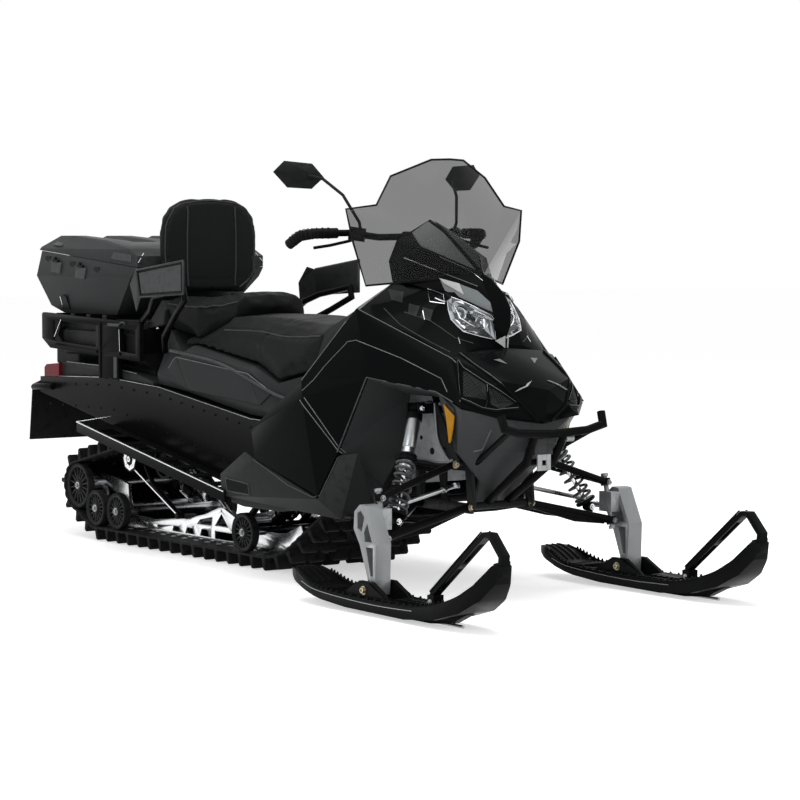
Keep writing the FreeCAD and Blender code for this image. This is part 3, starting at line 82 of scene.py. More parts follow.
class MachineSizes(bpy.types.PropertyGroup):
    """Sizes of the small parts that dress the machine"""

    panel_edge: bpy.props.FloatProperty(name="Panel edge", description="Width of the rounded edge of body panels",
                                        default=0.0025, min=0.0005, max=0.008, unit="LENGTH", subtype="DISTANCE")
    piping: bpy.props.FloatProperty(name="Piping", description="Radius of the welt along the cushion seams",
                                    default=0.0028, min=0.001, max=0.006, unit="LENGTH", subtype="DISTANCE")
    cushion_voxel: bpy.props.FloatProperty(name="Cushion voxel", description="Mesh size of the cloth on the cushions",
                                           default=0.007, min=0.004, max=0.02, unit="LENGTH", subtype="DISTANCE")
    lug_rows: bpy.props.IntProperty(name="Lug rows", description="Rows of lugs round the track",
                                    default=52, min=20, max=80)
    spokes: bpy.props.IntProperty(name="Wheel spokes", description="Spokes of each idler wheel",
                                  default=16, min=6, max=30)
    spring_turns: bpy.props.IntProperty(name="Spring turns", description="Turns of each ski shock spring",
                                        default=7, min=4, max=12)


class MachineColors(bpy.types.PropertyGroup):
    """Base colours of the finishes"""

    gloss: color_property("Gloss panel", (0.0035, 0.0038, 0.0040), "Painted side panels, hood and nose")
    matte: color_property("Moulded plastic", (0.012, 0.0125, 0.0128), "Lower panels, chin and console")
    box: color_property("Box plastic", (0.024, 0.0255, 0.0260), "Cargo box, deflectors and seat sides")
    vinyl: color_property("Vinyl", (0.0065, 0.0068, 0.0072), "Seat covers")
    metal: color_property("Black metal", (0.0036, 0.0036, 0.004), "Tunnel, arms, rack and bumpers")
    silver: color_property("Cast silver", (0.23, 0.24, 0.245), "Spindles and castings")
    screen: color_property("Screen tint", (0.012, 0.0125, 0.013), "Windshield")


def sizes():
    return bpy.context.scene.machine_sizes


def colors():
    return bpy.context.scene.machine_colors


# Points and shapes: lengths in millimetres, as the frame is drawn, turned into metres by Shape.piece.
# CORE is the small radius at which a turned solid ends on its axis.

CORE = 0.01


def vec(x, y, z):
    return Vector((x, y, z))


def cross_frame(direction):
    """Two unit vectors square to a direction."""
    d = Vector(direction).normalized()
    side = d.cross(Vector((0, 0, 1)))
    if side.length < 0.05:
        side = d.cross(Vector((0, 1, 0)))
    side.normalize()
    return side, d.cross(side).normalized()


def smooth_path(points, steps=6):
    """Points of a Catmull-Rom curve through the given points."""
    pts = [Vector(p) for p in points]
    out = []
    for i in range(len(pts) - 1):
        before = pts[i - 1] if i else pts[0] * 2 - pts[1]
        after = pts[i + 2] if i + 2 < len(pts) else pts[-1] * 2 - pts[-2]
        for k in range(steps):
            t = k / steps
            a, b = pts[i], pts[i + 1]
            out.append(0.5 * ((2 * a) + (b - before) * t + (2 * before - 5 * a + 4 * b - after) * t * t
                              + (3 * a - before - 3 * b + after) * t ** 3))
    return out + [pts[-1]]


def band_faces(rows, around, closed=False):
    """Four-sided faces between neighbouring rings of points."""
    pairs = [(j, (j + 1) % rows) for j in range(rows if closed else rows - 1)]
    return [[j * around + k, j * around + (k + 1) % around, m * around + (k + 1) % around, m * around + k]
            for j, m in pairs for k in range(around)]


class Shape:
    """Corners and faces, in millimetres, gathered into one mesh."""

    def __init__(self):
        self.corners = []
        self.faces = []

    def add(self, corners, faces):
        start = len(self.corners)
        self.corners += [Vector(c) for c in corners]
        self.faces += [[start + i for i in f] for f in faces]
        return self

    def copy_of(self, other, move=(0, 0, 0), flip_y=False):
        shift = Vector(move)
        corners = [c + shift for c in other.corners]
        faces = other.faces
        if flip_y:
            corners = [Vector((c.x, -c.y, c.z)) for c in corners]
            faces = [f[::-1] for f in faces]
        return self.add(corners, faces)

    def both_sides(self):
        """Adds the mirror image across the middle of the machine."""
        half = Shape()
        half.corners, half.faces = list(self.corners), list(self.faces)
        return self.copy_of(half, flip_y=True)

    def lathe(self, base, axis, profile, steps=24):
        """Turns a profile of (radius, height) pairs about an axis that starts at base."""
        origin, up = Vector(base), Vector(axis).normalized()
        side, other = cross_frame(up)
        corners, faces = [], []
        for r, h in profile:
            for k in range(steps):
                a = 2 * math.pi * k / steps
                corners.append(origin + up * h + (side * math.cos(a) + other * math.sin(a)) * r)
        for j in range(len(profile) - 1):
            for k in range(steps):
                n = (k + 1) % steps
                faces.append([j * steps + k, (j + 1) * steps + k, (j + 1) * steps + n, j * steps + n])
        if profile[0][0] > 0 and profile[0] != profile[-1]:
            faces.append(list(range(steps)))
            faces.append([(len(profile) - 1) * steps + k for k in reversed(range(steps))])
        return self.add(corners, faces)

    def turned(self, base, axis, profile, steps=24):
        """A solid turned part: the profile's ends are closed to the axis."""
        return self.lathe(base, axis, [(CORE, profile[0][1]), *profile, (CORE, profile[-1][1])], steps)

    def ring(self, base, axis, profile, steps=24):
        """Turns a closed profile of (radius, height) pairs: a rim, tyre or collar."""
        return self.lathe(base, axis, list(profile) + [profile[0]], steps)

    def tube(self, points, radius, steps=10, flat=1.0, closed=False):
        """Sweeps a round or flattened section along points; radius may be a list."""
        pts = [Vector(p) for p in points]
        n = len(pts)
        ends = [radius] * n if isinstance(radius, (int, float)) else radius
        side = None
        corners = []
        for i, p in enumerate(pts):
            ahead = pts[(i + 1) % n] if closed or i + 1 < n else p
            back = pts[i - 1] if closed or i else p
            d = (ahead - back).normalized()
            if side is None:
                side = cross_frame(d)[0]
            side = (side - d * side.dot(d)).normalized()
            other = d.cross(side)
            for k in range(steps):
                a = 2 * math.pi * k / steps
                corners.append(p + side * (math.cos(a) * ends[i]) + other * (math.sin(a) * ends[i] * flat))
        faces = band_faces(n, steps, closed)
        if not closed:
            faces += [list(reversed(range(steps))), [(n - 1) * steps + k for k in range(steps)]]
        return self.add(corners, faces)

    def prism(self, outline, depth):
        """Pushes a closed outline of points by a vector."""
        lower = [Vector(p) for p in outline]
        push = Vector(depth)
        n = len(lower)
        normal = sum(((lower[i]).cross(lower[(i + 1) % n]) for i in range(n)), Vector())
        if normal.dot(push) > 0:
            lower.reverse()
        faces = [list(range(n)), [n + i for i in reversed(range(n))]]
        for i in range(n):
            j = (i + 1) % n
            faces.append([j, i, n + i, n + j])
        return self.add(lower + [p + push for p in lower], faces)

    def block(self, low, high):
        x0, y0, z0 = low
        x1, y1, z1 = high
        return self.prism([(x0, y0, z0), (x1, y0, z0), (x1, y1, z0), (x0, y1, z0)], (0, 0, z1 - z0))

    def slab(self, centre, along, across, length, width, height):
        """A block laid along one direction, with its top facing away from both."""
        a = Vector(along).normalized()
        b = Vector(across).normalized()
        up = a.cross(b).normalized()
        c = Vector(centre)
        ring = [c + a * (sx * length / 2) + b * (sy * width / 2) - up * (height / 2)
                for sx, sy in ((-1, -1), (1, -1), (1, 1), (-1, 1))]
        return self.prism(ring, up * height)

    def bolt(self, place, axis, radius=7, height=5):
        """A washer, a six-sided head and a socket in it."""
        at, up = Vector(place), Vector(axis).normalized()
        self.turned(at, up, [(radius * 1.35, 0), (radius * 1.35, 1.2)], 20)
        head = [(radius, 0), (radius, height - 1), (radius * 0.86, height), (radius * 0.45, height),
                (radius * 0.45, height * 0.45)]
        return self.turned(at + up * 1.2, up, head, 6)

    def piece(self, name, look, slot, body="chassis", bevel=0.0, segments=2, angle=30, replaces=()):
        """Makes the shape a piece with a finish, a body and the nodes it stands for."""
        mesh = bpy.data.meshes.new(name)
        mesh.from_pydata([c * MM for c in self.corners], [], self.faces)
        mesh.update()
        obj = bpy.data.objects.new(name, mesh)
        finish_piece(obj, finish(look), body, bevel, segments, angle, replaces)


def finish_piece(obj, material, body, bevel, segments, angle, replaces):
    bpy.context.scene.collection.objects.link(obj)
    mesh = obj.data
    mesh.materials.clear()
    mesh.materials.append(material)
    tidy = bmesh.new()
    tidy.from_mesh(mesh)
    bmesh.ops.recalc_face_normals(tidy, faces=tidy.faces)
    for face in tidy.faces:
        face.smooth = True
    for edge in tidy.edges:
        if len(edge.link_faces) == 2 and edge.calc_face_angle(0) > math.radians(angle):
            edge.smooth = False
    tidy.to_mesh(mesh)
    tidy.free()
    if bevel:
        soften(obj, bevel, segments, angle)
    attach(obj, body)
    if replaces:
        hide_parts(*replaces)


def soften(obj, width, segments, angle):
    for edge in obj.data.edges:
        edge.use_edge_sharp = False
    b = obj.modifiers.new("Rounded edges", "BEVEL")
    b.width = width
    b.segments = segments
    b.limit_method = "ANGLE"
    b.angle_limit = math.radians(angle)
    b.harden_normals = True
    b.miter_outer = "MITER_ARC"
    b.use_clamp_overlap = True


JOIN_GAP = 2e-5
FLAT_ANGLE = math.radians(1.0)


def joined_copy(node):
    """A copy of a frame mesh with its doubled corners joined and flat facets merged."""
    source = frame["nodes"][node].data
    work = bmesh.new()
    work.from_mesh(source)
    bmesh.ops.remove_doubles(work, verts=work.verts, dist=JOIN_GAP)
    bmesh.ops.dissolve_limit(work, angle_limit=FLAT_ANGLE, verts=work.verts, edges=work.edges)
    bmesh.ops.dissolve_degenerate(work, dist=JOIN_GAP / 2, edges=work.edges)
    mesh = bpy.data.meshes.new(node + "_shell")
    work.to_mesh(mesh)
    work.free()
    return mesh


def dressed(node, look, bevel, angle, segments, name=None):
    """The frame's own form with rounded edges and a finish, standing for the node."""
    mesh = joined_copy(node)
    obj = bpy.data.objects.new(name or node + "_finish", mesh)
    body = frame["nodes"][node]["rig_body"]
    finish_piece(obj, finish(look), body, bevel, segments, angle, (node,))


REACH = 45


class Skin:
    """The outer surface of finished pieces, on which lines and thin plates are laid (millimetres)."""

    def __init__(self, *names):
        corners, faces = [], []
        for name in names:
            obj = bpy.data.objects[name]
            start = len(corners)
            corners += [obj.matrix_world @ v.co for v in obj.data.vertices]
            faces += [[start + i for i in p.vertices] for p in obj.data.polygons]
        self.tree = BVHTree.FromPolygons(corners, faces)

    def lay(self, point, out, lift):
        """The point moved along the outward direction onto the surface, within reach, and lifted off it."""
        way = Vector(out).normalized()
        hit, normal, index, gap = self.tree.ray_cast((Vector(point) + way * REACH) * MM, -way, 2 * REACH * MM)
        if hit is None:
            hit, normal, index, gap = self.tree.find_nearest(Vector(point) * MM)
        return hit / MM + way * lift

    def line(self, points, out, lift, step=12):
        """A path laid on the surface in short steps."""
        path = []
        for a, b in zip(points, points[1:]):
            a, b = Vector(a), Vector(b)
            count = max(1, int((b - a).length / step))
            path += [self.lay(a.lerp(b, k / count), out, lift) for k in range(count)]
        return path + [self.lay(points[-1], out, lift)]

    def grid(self, quad, out, lift, cells):
        """Rows of points laid on the surface inside four corners."""
        a, b, c, d = (Vector(q) for q in quad)
        across, down = cells
        return [self.lay(a.lerp(b, i / across).lerp(d.lerp(c, i / across), j / down), out, lift)
                for j in range(down + 1) for i in range(across + 1)]

    def patch(self, shape, quad, out, lift, cells=(6, 4), sink=4):
        """A thin plate that follows the surface inside four corners."""
        across, down = cells
        top = self.grid(quad, out, lift, cells)
        way = Vector(out).normalized() * (lift + sink)
        n = len(top)
        faces = []
        for j in range(down):
            for i in range(across):
                a = j * (across + 1) + i
                cell = [a, a + 1, a + across + 2, a + across + 1]
                faces += [cell, [n + k for k in reversed(cell)]]
        rim = (list(range(across + 1)) + [j * (across + 1) + across for j in range(1, down + 1)]
               + [down * (across + 1) + i for i in range(across - 1, -1, -1)]
               + [j * (across + 1) for j in range(down - 1, 0, -1)])
        for a, b in zip(rim, rim[1:] + rim[:1]):
            faces.append([b, a, n + a, n + b])
        return shape.add(top + [p - way for p in top], faces)


def paint(node, material):
    """Gives a frame node that keeps its own mesh a finish."""
    for holder in frame["nodes"][node].material_slots:
        holder.material = material


# Effects shared by several finishes: node groups of masks, heights and colours

def add_node(tree, kind, inputs=None, **settings):
    """A shader node; each input gets a value, or a link where the value is a socket."""
    node = tree.nodes.new("ShaderNode" + kind)
    for key, value in settings.items():
        setattr(node, key, value)
    for key, value in (inputs or {}).items():
        if isinstance(value, bpy.types.NodeSocket):
            tree.links.new(value, node.inputs[key])
        else:
            node.inputs[key].default_value = value
    return node


def new_group(name, inputs, outputs):
    """An empty group with (label, kind, value) inputs and numbers out, and the place on the object."""
    tree = bpy.data.node_groups.new(name, "ShaderNodeTree")
    for label, kind, value in inputs:
        socket = tree.interface.new_socket(name=label, in_out="INPUT", socket_type="NodeSocket" + kind)
        socket.default_value = value
    for label in outputs:
        tree.interface.new_socket(name=label, in_out="OUTPUT", socket_type="NodeSocketFloat")
    given = tree.nodes.new("NodeGroupInput").outputs
    result = tree.nodes.new("NodeGroupOutput").inputs
    return tree, given, result, add_node(tree, "TexCoord").outputs["Object"]


def grain_group():
    """Fine moulded grain: a height and a soft patchy mask."""
    tree, given, result, place = new_group(
        "Moulded grain", [("Scale", "Float", 900.0), ("Patch scale", "Float", 5.0)], ["Height", "Patches"])
    cells = add_node(tree, "TexVoronoi", {"Vector": place, "Scale": given["Scale"]}, feature="SMOOTH_F1")
    noise = add_node(tree, "TexNoise", {"Vector": place, "Scale": given["Patch scale"], "Detail": 4.0})
    tree.links.new(cells.outputs["Distance"], result["Height"])
    tree.links.new(noise.outputs["Fac"], result["Patches"])
    return tree


def wear_and_edge_highlight_group():
    """Rubbed edges and painted edge highlight: a mask that is strongest on sharp convex edges and broken up by noise.
    """
    tree, given, result, place = new_group(
        "Edge wear", [("Amount", "Float", 0.5), ("Scale", "Float", 40.0)], ["Mask"])
    sharp = add_node(tree, "NewGeometry").outputs["Pointiness"]
    ramp = add_node(tree, "MapRange", {"Value": sharp, "From Min": 0.52, "From Max": 0.62})
    noise = add_node(tree, "TexNoise", {"Vector": place, "Scale": given["Scale"], "Detail": 3.0})
    speck = add_node(tree, "MapRange", {"Value": noise.outputs["Fac"], "From Min": 0.25, "From Max": 0.5})
    product = add_node(tree, "Math", {0: ramp.outputs["Result"], 1: speck.outputs["Result"]}, operation="MULTIPLY")
    scaled = add_node(tree, "Math", {0: product.outputs[0], 1: given["Amount"]}, operation="MULTIPLY")
    tree.links.new(scaled.outputs[0], result["Mask"])
    return tree


def brushed_group():
    """Fine parallel lines from rolling or brushing, as a height."""
    tree, given, result, place = new_group("Brushed lines", [("Stretch", "Vector", (4.0, 260.0, 260.0))],
                                           ["Height"])
    drawn = add_node(tree, "VectorMath", {0: place, 1: given["Stretch"]}, operation="MULTIPLY")
    noise = add_node(tree, "TexNoise", {"Vector": drawn.outputs["Vector"], "Scale": 1.0, "Detail": 2.0})
    tree.links.new(noise.outputs["Fac"], result["Height"])
    return tree


def leather_group():
    """Grained vinyl: creased cells over slow folds."""
    tree, given, result, place = new_group("Vinyl grain", [("Scale", "Float", 260.0)], ["Height", "Patches"])
    warp = add_node(tree, "TexNoise", {"Vector": place, "Scale": 60.0})
    bent = add_node(tree, "Mix", {"Factor": 0.012, "A": place, "B": warp.outputs["Color"]}, data_type="VECTOR")
    cells = add_node(tree, "TexVoronoi", {"Vector": bent.outputs["Result"], "Scale": given["Scale"]},
                     feature="DISTANCE_TO_EDGE")
    crease = add_node(tree, "MapRange", {"Value": cells.outputs["Distance"], "From Max": 0.18})
    folds = add_node(tree, "TexNoise", {"Vector": place, "Scale": 9.0})
    tree.links.new(crease.outputs["Result"], result["Height"])
    tree.links.new(folds.outputs["Fac"], result["Patches"])
    return tree


GROUP_MAKERS = {"grain": grain_group, "wear": wear_and_edge_highlight_group, "brushed": brushed_group, "leather": leather_group}
GROUPS = {}


def place_group(mat, name, **values):
    """A shared effect in a material, with its own values; returns its outputs."""
    if name not in GROUPS:
        GROUPS[name] = GROUP_MAKERS[name]()
    inputs = {key.replace("_", " ").capitalize(): value for key, value in values.items()}
    return add_node(mat.node_tree, "Group", inputs, node_tree=GROUPS[name]).outputs


def plain(name, color, rough, metallic=0.0, specular=0.5):
    """A material whose shader has one colour and gloss all over."""
    mat = bpy.data.materials.new(name)
    mat.use_nodes = True
    mat.diffuse_color = (*color, 1)
    p = mat.node_tree.nodes["Principled BSDF"]
    for label, value in (("Base Color", (*color, 1)), ("Roughness", rough), ("Metallic", metallic),
                         ("Specular IOR Level", specular)):
        p.inputs[label].default_value = value
    return mat, p


def vary(mat, mask, low, high):
    """Maps a mask onto a range of values."""
    limits = {"From Min": 0.3, "From Max": 0.7, "To Min": low, "To Max": high}
    return add_node(mat.node_tree, "MapRange", {"Value": mask, **limits}).outputs["Result"]


def tint(mat, mask, first, second):
    """Mixes two colours by a mask."""
    mix = add_node(mat.node_tree, "Mix", {"Factor": mask, "A": (*first, 1), "B": (*second, 1)}, data_type="RGBA")
    return mix.outputs["Result"]


def dress_shader(mat, p, color, rough, height, strength, distance):
    """Links a changing colour, gloss and relief to the shader."""
    relief = add_node(mat.node_tree, "Bump", {"Strength": strength, "Distance": distance, "Height": height})
    for socket, label in ((color, "Base Color"), (rough, "Roughness"), (relief.outputs["Normal"], "Normal")):
        if socket:
            mat.node_tree.links.new(socket, p.inputs[label])
    return mat


def shade(color, factor):
    return tuple(min(1.0, c * factor) for c in color)


def moulded(name, color, rough, scale, strength, distance, specular, wear):
    """Moulded plastic or rubber: fine grain, slow changes of gloss, and lighter edges that are partly rubbed wear and
    partly painted highlight.
    """
    mat, p = plain(name, color, rough, specular=specular)
    grain = place_group(mat, "grain", scale=scale)
    wear_and_highlight = place_group(mat, "wear", amount=wear)
    # Lighter edges: rubbed wear and a painted edge highlight.
    base = tint(mat, wear_and_highlight["Mask"], color, tuple(v * 2.0 + 0.02 for v in color))
    gloss = vary(mat, grain["Patches"], rough * 0.88, min(1, rough * 1.12))
    return dress_shader(mat, p, base, gloss, grain["Height"], strength, distance)


def metal(name, color, rough, strength=0.12, stretch=(4.0, 260.0, 260.0)):
    """Bare metal: faint brushed lines and patches of gloss."""
    mat, p = plain(name, color, rough, metallic=1.0)
    lines = place_group(mat, "brushed", stretch=stretch)
    grain = place_group(mat, "grain", scale=500.0, patch_scale=18.0)
    base = tint(mat, grain["Patches"], shade(color, 0.85), shade(color, 1.1))
    gloss = vary(mat, grain["Patches"], rough * 0.75, min(1, rough * 1.3))
    return dress_shader(mat, p, base, gloss, lines["Height"], strength, 0.0006)


def cast_finish(name, color):
    """Painted casting: pebbled surface with darker pores, and lighter edges that are rubbed wear and painted
    highlight.
    """
    mat, p = plain(name, color, 0.42, metallic=0.55, specular=0.4)
    grain = place_group(mat, "grain", scale=620.0, patch_scale=22.0)
    wear_and_highlight = place_group(mat, "wear", amount=0.8)
    # Lighter edges: rubbed wear and a painted edge highlight.
    base = tint(mat, wear_and_highlight["Mask"], color, shade(color, 1.8))
    return dress_shader(mat, p, base, vary(mat, grain["Patches"], 0.34, 0.52), grain["Height"], 0.35, 0.0006)


def vinyl_finish(name, color, rough):
    """Grained vinyl with patches of gloss and colour."""
    mat, p = plain(name, color, rough, specular=0.07)
    skin = place_group(mat, "leather", scale=300.0)
    base = tint(mat, skin["Patches"], shade(color, 0.8), shade(color, 1.25))
    return dress_shader(mat, p, base, vary(mat, skin["Patches"], rough - 0.05, rough + 0.06), skin["Height"],
                        0.5, 0.0005)


def clear_sheet(name, color, opacity):
    """Tinted clear sheet, seen through without bending the view."""
    mat, p = plain(name, color, 0.03, specular=0.06)
    grain = place_group(mat, "grain", scale=14.0, patch_scale=3.0)
    mat.node_tree.links.new(vary(mat, grain["Patches"], opacity * 0.99, opacity * 1.01), p.inputs["Alpha"])
    return mat


def glow_lens(name, color, rough, specular):
    """Moulded lamp lens or reflector with a fine prism pattern."""
    mat, p = plain(name, color, rough, specular=specular)
    cells = place_group(mat, "grain", scale=420.0, patch_scale=30.0)
    base = tint(mat, cells["Patches"], shade(color, 0.7), shade(color, 1.2))
    return dress_shader(mat, p, base, None, cells["Height"], 0.6, 0.0012)


# Finishes: maker, material name, colour (three numbers, or a property and how much lighter), then the
# maker's values. For moulded: roughness, grain scale, strength and depth, specular, wear (how much the
# edges lighten: rubbed wear and painted edge highlight). For metal: roughness, strength and stretch of
# the lines. For glow_lens: roughness and specular.

ROUND_LINES = (60.0, 60.0, 60.0)
LOOKS = {
    "gloss": (moulded, "Gloss black panel", ("gloss", 1), 0.16, 60.0, 0.015, 0.0005, 0.014, 0.12),
    "matte": (moulded, "Dark grey moulding", ("matte", 1), 0.4, 900.0, 0.3, 0.0004, 0.05, 0.8),
    "pale_matte": (moulded, "Grey moulding", ("matte", 2.7), 0.38, 900.0, 0.3, 0.0004, 0.06, 0.8),
    "chin": (moulded, "Lower nose grey", ("matte", 4.4), 0.4, 900.0, 0.3, 0.0004, 0.06, 0.3),
    "box": (moulded, "Grey box plastic", ("box", 1), 0.42, 520.0, 0.4, 0.0006, 0.05, 0.8),
    "pale_box": (moulded, "Light grey plastic", ("box", 1.6), 0.4, 520.0, 0.35, 0.0005, 0.06, 0.7),
    "metal": (moulded, "Black powder coat", ("metal", 1), 0.3, 700.0, 0.2, 0.0003, 0.03, 0.15),
    "spring": (moulded, "Grey spring paint", (0.028, 0.029, 0.031), 0.32, 600.0, 0.15, 0.0003, 0.3, 0.8),
    "rubber": (moulded, "Track rubber", (0.005, 0.0051, 0.0052), 0.6, 420.0, 0.6, 0.0008, 0.04, 1.0),
    "grip": (moulded, "Grip rubber", (0.004, 0.004, 0.0042), 0.6, 700.0, 0.4, 0.0004, 0.06, 0.3),
    "wheel": (moulded, "Wheel plastic", (0.006, 0.0062, 0.0064), 0.32, 800.0, 0.25, 0.0004, 0.06, 0.9),
    "ski": (moulded, "Ski plastic", (0.004, 0.0042, 0.0043), 0.3, 650.0, 0.35, 0.0005, 0.03, 0.25),
    "lamp_bar": (moulded, "Light bar", (0.13, 0.145, 0.15), 0.25, 700.0, 0.1, 0.0003, 0.2, 0.2),
    # Light grey of the near pod facet: a painted reflection of a bright lamp.
    "facet": (moulded, "Satin grey facet", (0.40, 0.42, 0.415), 0.4, 700.0, 0.1, 0.0003, 0.3, 0.2),
    # Pale grey of the light bar's glints, which are painted highlights, and of the nose accents.
    "pale_facet": (moulded, "Silver facet", (0.34, 0.35, 0.35), 0.3, 700.0, 0.1, 0.0003, 0.4, 0.2),
    # Grey of thin lines; most are painted highlights along edges, creases and seams.
    "edge": (moulded, "Grey edge line", (0.10, 0.105, 0.105), 0.35, 700.0, 0.1, 0.0003, 0.4, 0.2),
    "dark": (moulded, "Deep black", (0.0022, 0.0022, 0.0024), 0.55, 500.0, 0.3, 0.0004, 0.12, 0.0),
    "vinyl": (vinyl_finish, "Black vinyl", ("vinyl", 1), 0.46),
    # Piping vinyl six times lighter than the seat vinyl: real piping, its lightness a painted highlight.
    "welt": (vinyl_finish, "Piping vinyl", ("vinyl", 6.0), 0.3),
    "silver": (cast_finish, "Cast silver", ("silver", 1)),
    "rail": (metal, "Bright rail", (0.78, 0.79, 0.8), 0.22),
    "chrome": (metal, "Chrome", (0.72, 0.73, 0.75), 0.08, 0.02),
    "steel": (metal, "Plain steel", (0.42, 0.43, 0.44), 0.3),
    "gold": (metal, "Yellow zinc", (0.36, 0.32, 0.23), 0.3, 0.04),
    "bowl": (metal, "Lamp reflector", (0.42, 0.44, 0.46), 0.12, 0.3, ROUND_LINES),
    # Dark reflector: painted dark reflection on most of the lamp's reflector cells and the bowl floors.
    "smoked": (metal, "Smoked reflector", (0.09, 0.095, 0.1), 0.18, 0.3, ROUND_LINES),
    "damper": (metal, "Damper body", (0.3, 0.31, 0.315), 0.3),
    "amber": (glow_lens, "Amber reflector", (0.44, 0.2, 0.003), 0.3, 0.12),
    "red": (glow_lens, "Red lens", (0.13, 0.006, 0.012), 0.25, 0.12),
    "screen": (clear_sheet, "Smoked screen", ("screen", 1), 0.53),
    "lens": (clear_sheet, "Clear lens", (0.25, 0.26, 0.27), 0.1),
}
FINISHES = {}


def finish(name):
    """One material per finish, made when it is first asked for."""
    if name not in FINISHES:
        maker, label, color, *values = LOOKS[name]
        if isinstance(color[0], str):
            color = shade(getattr(colors(), color[0]), color[1])
        FINISHES[name] = maker(label, color, *values)
    return FINISHES[name]


# Stage: pale floor, white surround, soft lamps and the camera of the photograph

CAMERA_PLACE = (7.401, -5.063, 1.113)
CAMERA_YAW = 143.959
CAMERA_PITCH = -3.45
CAMERA_LENS = 117.97
WORLD_LEVEL = 0.55
FLOOR_GLOW = 0.53
FLOOR_REACH = 40.0
FLOOR_Z = -0.0015
# Name, place, target, size and power of each soft lamp
LAMPS = (("overhead_lamp", (0.4, -0.6, 5.2), (0, 0, 0.4), (5.0, 4.0), 210),
         ("side_lamp", (2.5, -6.0, 3.0), (0, 0, 0.5), (4.0, 2.5), 90),
         ("front_lamp", (7.0, 1.5, 2.6), (0.4, 0, 0.5), (2.5, 3.0), 60))


def background_rays(tree):
    """One where a ray comes from the camera, a mirror-like surface or glass."""
    path = add_node(tree, "LightPath").outputs
    seen = add_node(tree, "Math", {0: path["Is Camera Ray"], 1: path["Is Glossy Ray"]}, operation="MAXIMUM")
    through = {0: seen.outputs[0], 1: path["Is Transmission Ray"]}
    return add_node(tree, "Math", through, operation="MAXIMUM").outputs[0]


def make_world(fill):
    """A world that lights at the given level and shows as white."""
    world = bpy.data.worlds.new("White studio")
    bpy.context.scene.world = world
    world.use_nodes = True
    tree = world.node_tree
    back = tree.nodes["Background"]
    back.inputs["Color"].default_value = (1, 1, 1, 1)
    level = add_node(tree, "MapRange", {"Value": background_rays(tree), "To Min": fill, "To Max": 1.0})
    tree.links.new(level.outputs["Result"], back.inputs["Strength"])


def floor_finish():
    """Pale floor that shows as white where no shadow falls."""
    mat, p = plain("Pale floor", (0.83, 0.83, 0.83), 0.9, specular=0.0)
    tree = mat.node_tree
    p.inputs["Emission Color"].default_value = (1, 1, 1, 1)
    place = add_node(tree, "TexCoord").outputs["Object"]
    noise = add_node(tree, "TexNoise", {"Vector": place, "Scale": 30.0})
    tree.links.new(tint(mat, noise.outputs["Fac"], (0.82, 0.82, 0.82), (0.84, 0.84, 0.84)), p.inputs["Base Color"])
    level = add_node(tree, "MapRange", {"Value": background_rays(tree), "To Max": FLOOR_GLOW})
    tree.links.new(level.outputs["Result"], p.inputs["Emission Strength"])
    return mat


def soft_lamp(name, place, target, size, power):
    data = bpy.data.lights.new(name, "AREA")
    data.shape = "RECTANGLE"
    data.size, data.size_y = size
    data.energy = power
    lamp = bpy.data.objects.new(name, data)
    bpy.context.scene.collection.objects.link(lamp)
    lamp.location = place
    lamp.rotation_euler = (Vector(target) - Vector(place)).to_track_quat("-Z", "Y").to_euler()
    lamp.visible_camera = False


class SNOW_OT_stage(bpy.types.Operator):
    """Floor, white surround, soft lamps and camera"""
    bl_idname = "snow.stage"
    bl_label = "Stage"

    def floor(self, scene):
        mesh = bpy.data.meshes.new("floor")
        square = ((-1, -1), (1, -1), (1, 1), (-1, 1))
        corners = [(x * FLOOR_REACH, y * FLOOR_REACH, FLOOR_Z) for x, y in square]
        mesh.from_pydata(corners, [], [(0, 1, 2, 3)])
        mesh.materials.append(floor_finish())
        floor = bpy.data.objects.new("floor", mesh)
        scene.collection.objects.link(floor)

    def camera(self, scene):
        data = bpy.data.cameras.new("photo_camera")
        data.sensor_width = 36
        data.lens = CAMERA_LENS
        data.clip_end = 200
        camera = bpy.data.objects.new("photo_camera", data)
        scene.collection.objects.link(camera)
        yaw, pitch = math.radians(CAMERA_YAW), math.radians(CAMERA_PITCH)
        look = Vector((math.cos(yaw) * math.cos(pitch), math.sin(yaw) * math.cos(pitch), math.sin(pitch)))
        camera.location = CAMERA_PLACE
        camera.rotation_euler = look.to_track_quat("-Z", "Y").to_euler()
        scene.camera = camera

    def execute(self, context):
        make_world(WORLD_LEVEL)
        self.floor(context.scene)
        for row in LAMPS:
            soft_lamp(*row)
        self.camera(context.scene)
        context.scene.view_settings.view_transform = "Standard"
        return {"FINISHED"}


# Nodes that keep the frame's form. Body panels: node, finish, share of the panel edge, angle and
# segments of the rounding, slot. The frame: node, finish, edge in mm, angle, segments, slot.

PANELS = (
    ("side_panels", "gloss", 1, 8, 2, "gloss_black"),
    ("hood", "gloss", 1.6, 10, 3, "gloss_black"),
    ("nose", "gloss", 1, 8, 2, "gloss_black"),
    ("lower_panels", "matte", 1, 8, 2, "dark_plastic"),
    ("chin", "chin", 1, 8, 2, "dark_plastic"),
    ("arch_liners", "pale_matte", 0.6, 12, 2, "dark_plastic"),
    ("console", "matte", 1.6, 12, 3, "dark_plastic"),
    ("seat_base", "box", 1.6, 12, 3, "dark_plastic"),
    ("rear_cover", "matte", 1, 20, 2, "dark_plastic"),
    ("rack_storage", "matte", 2, 15, 3, "dark_plastic"),
    ("hand_deflectors", "matte", 0.7, 12, 2, "dark_plastic"),
    ("snow_flap", "rubber", 0.5, 20, 2, "dark_plastic"),
)
CARGO = (("cargo_box", "box", 2, 15, 3, "box_plastic"), ("cargo_lid", "box", 2, 15, 3, "box_plastic"))
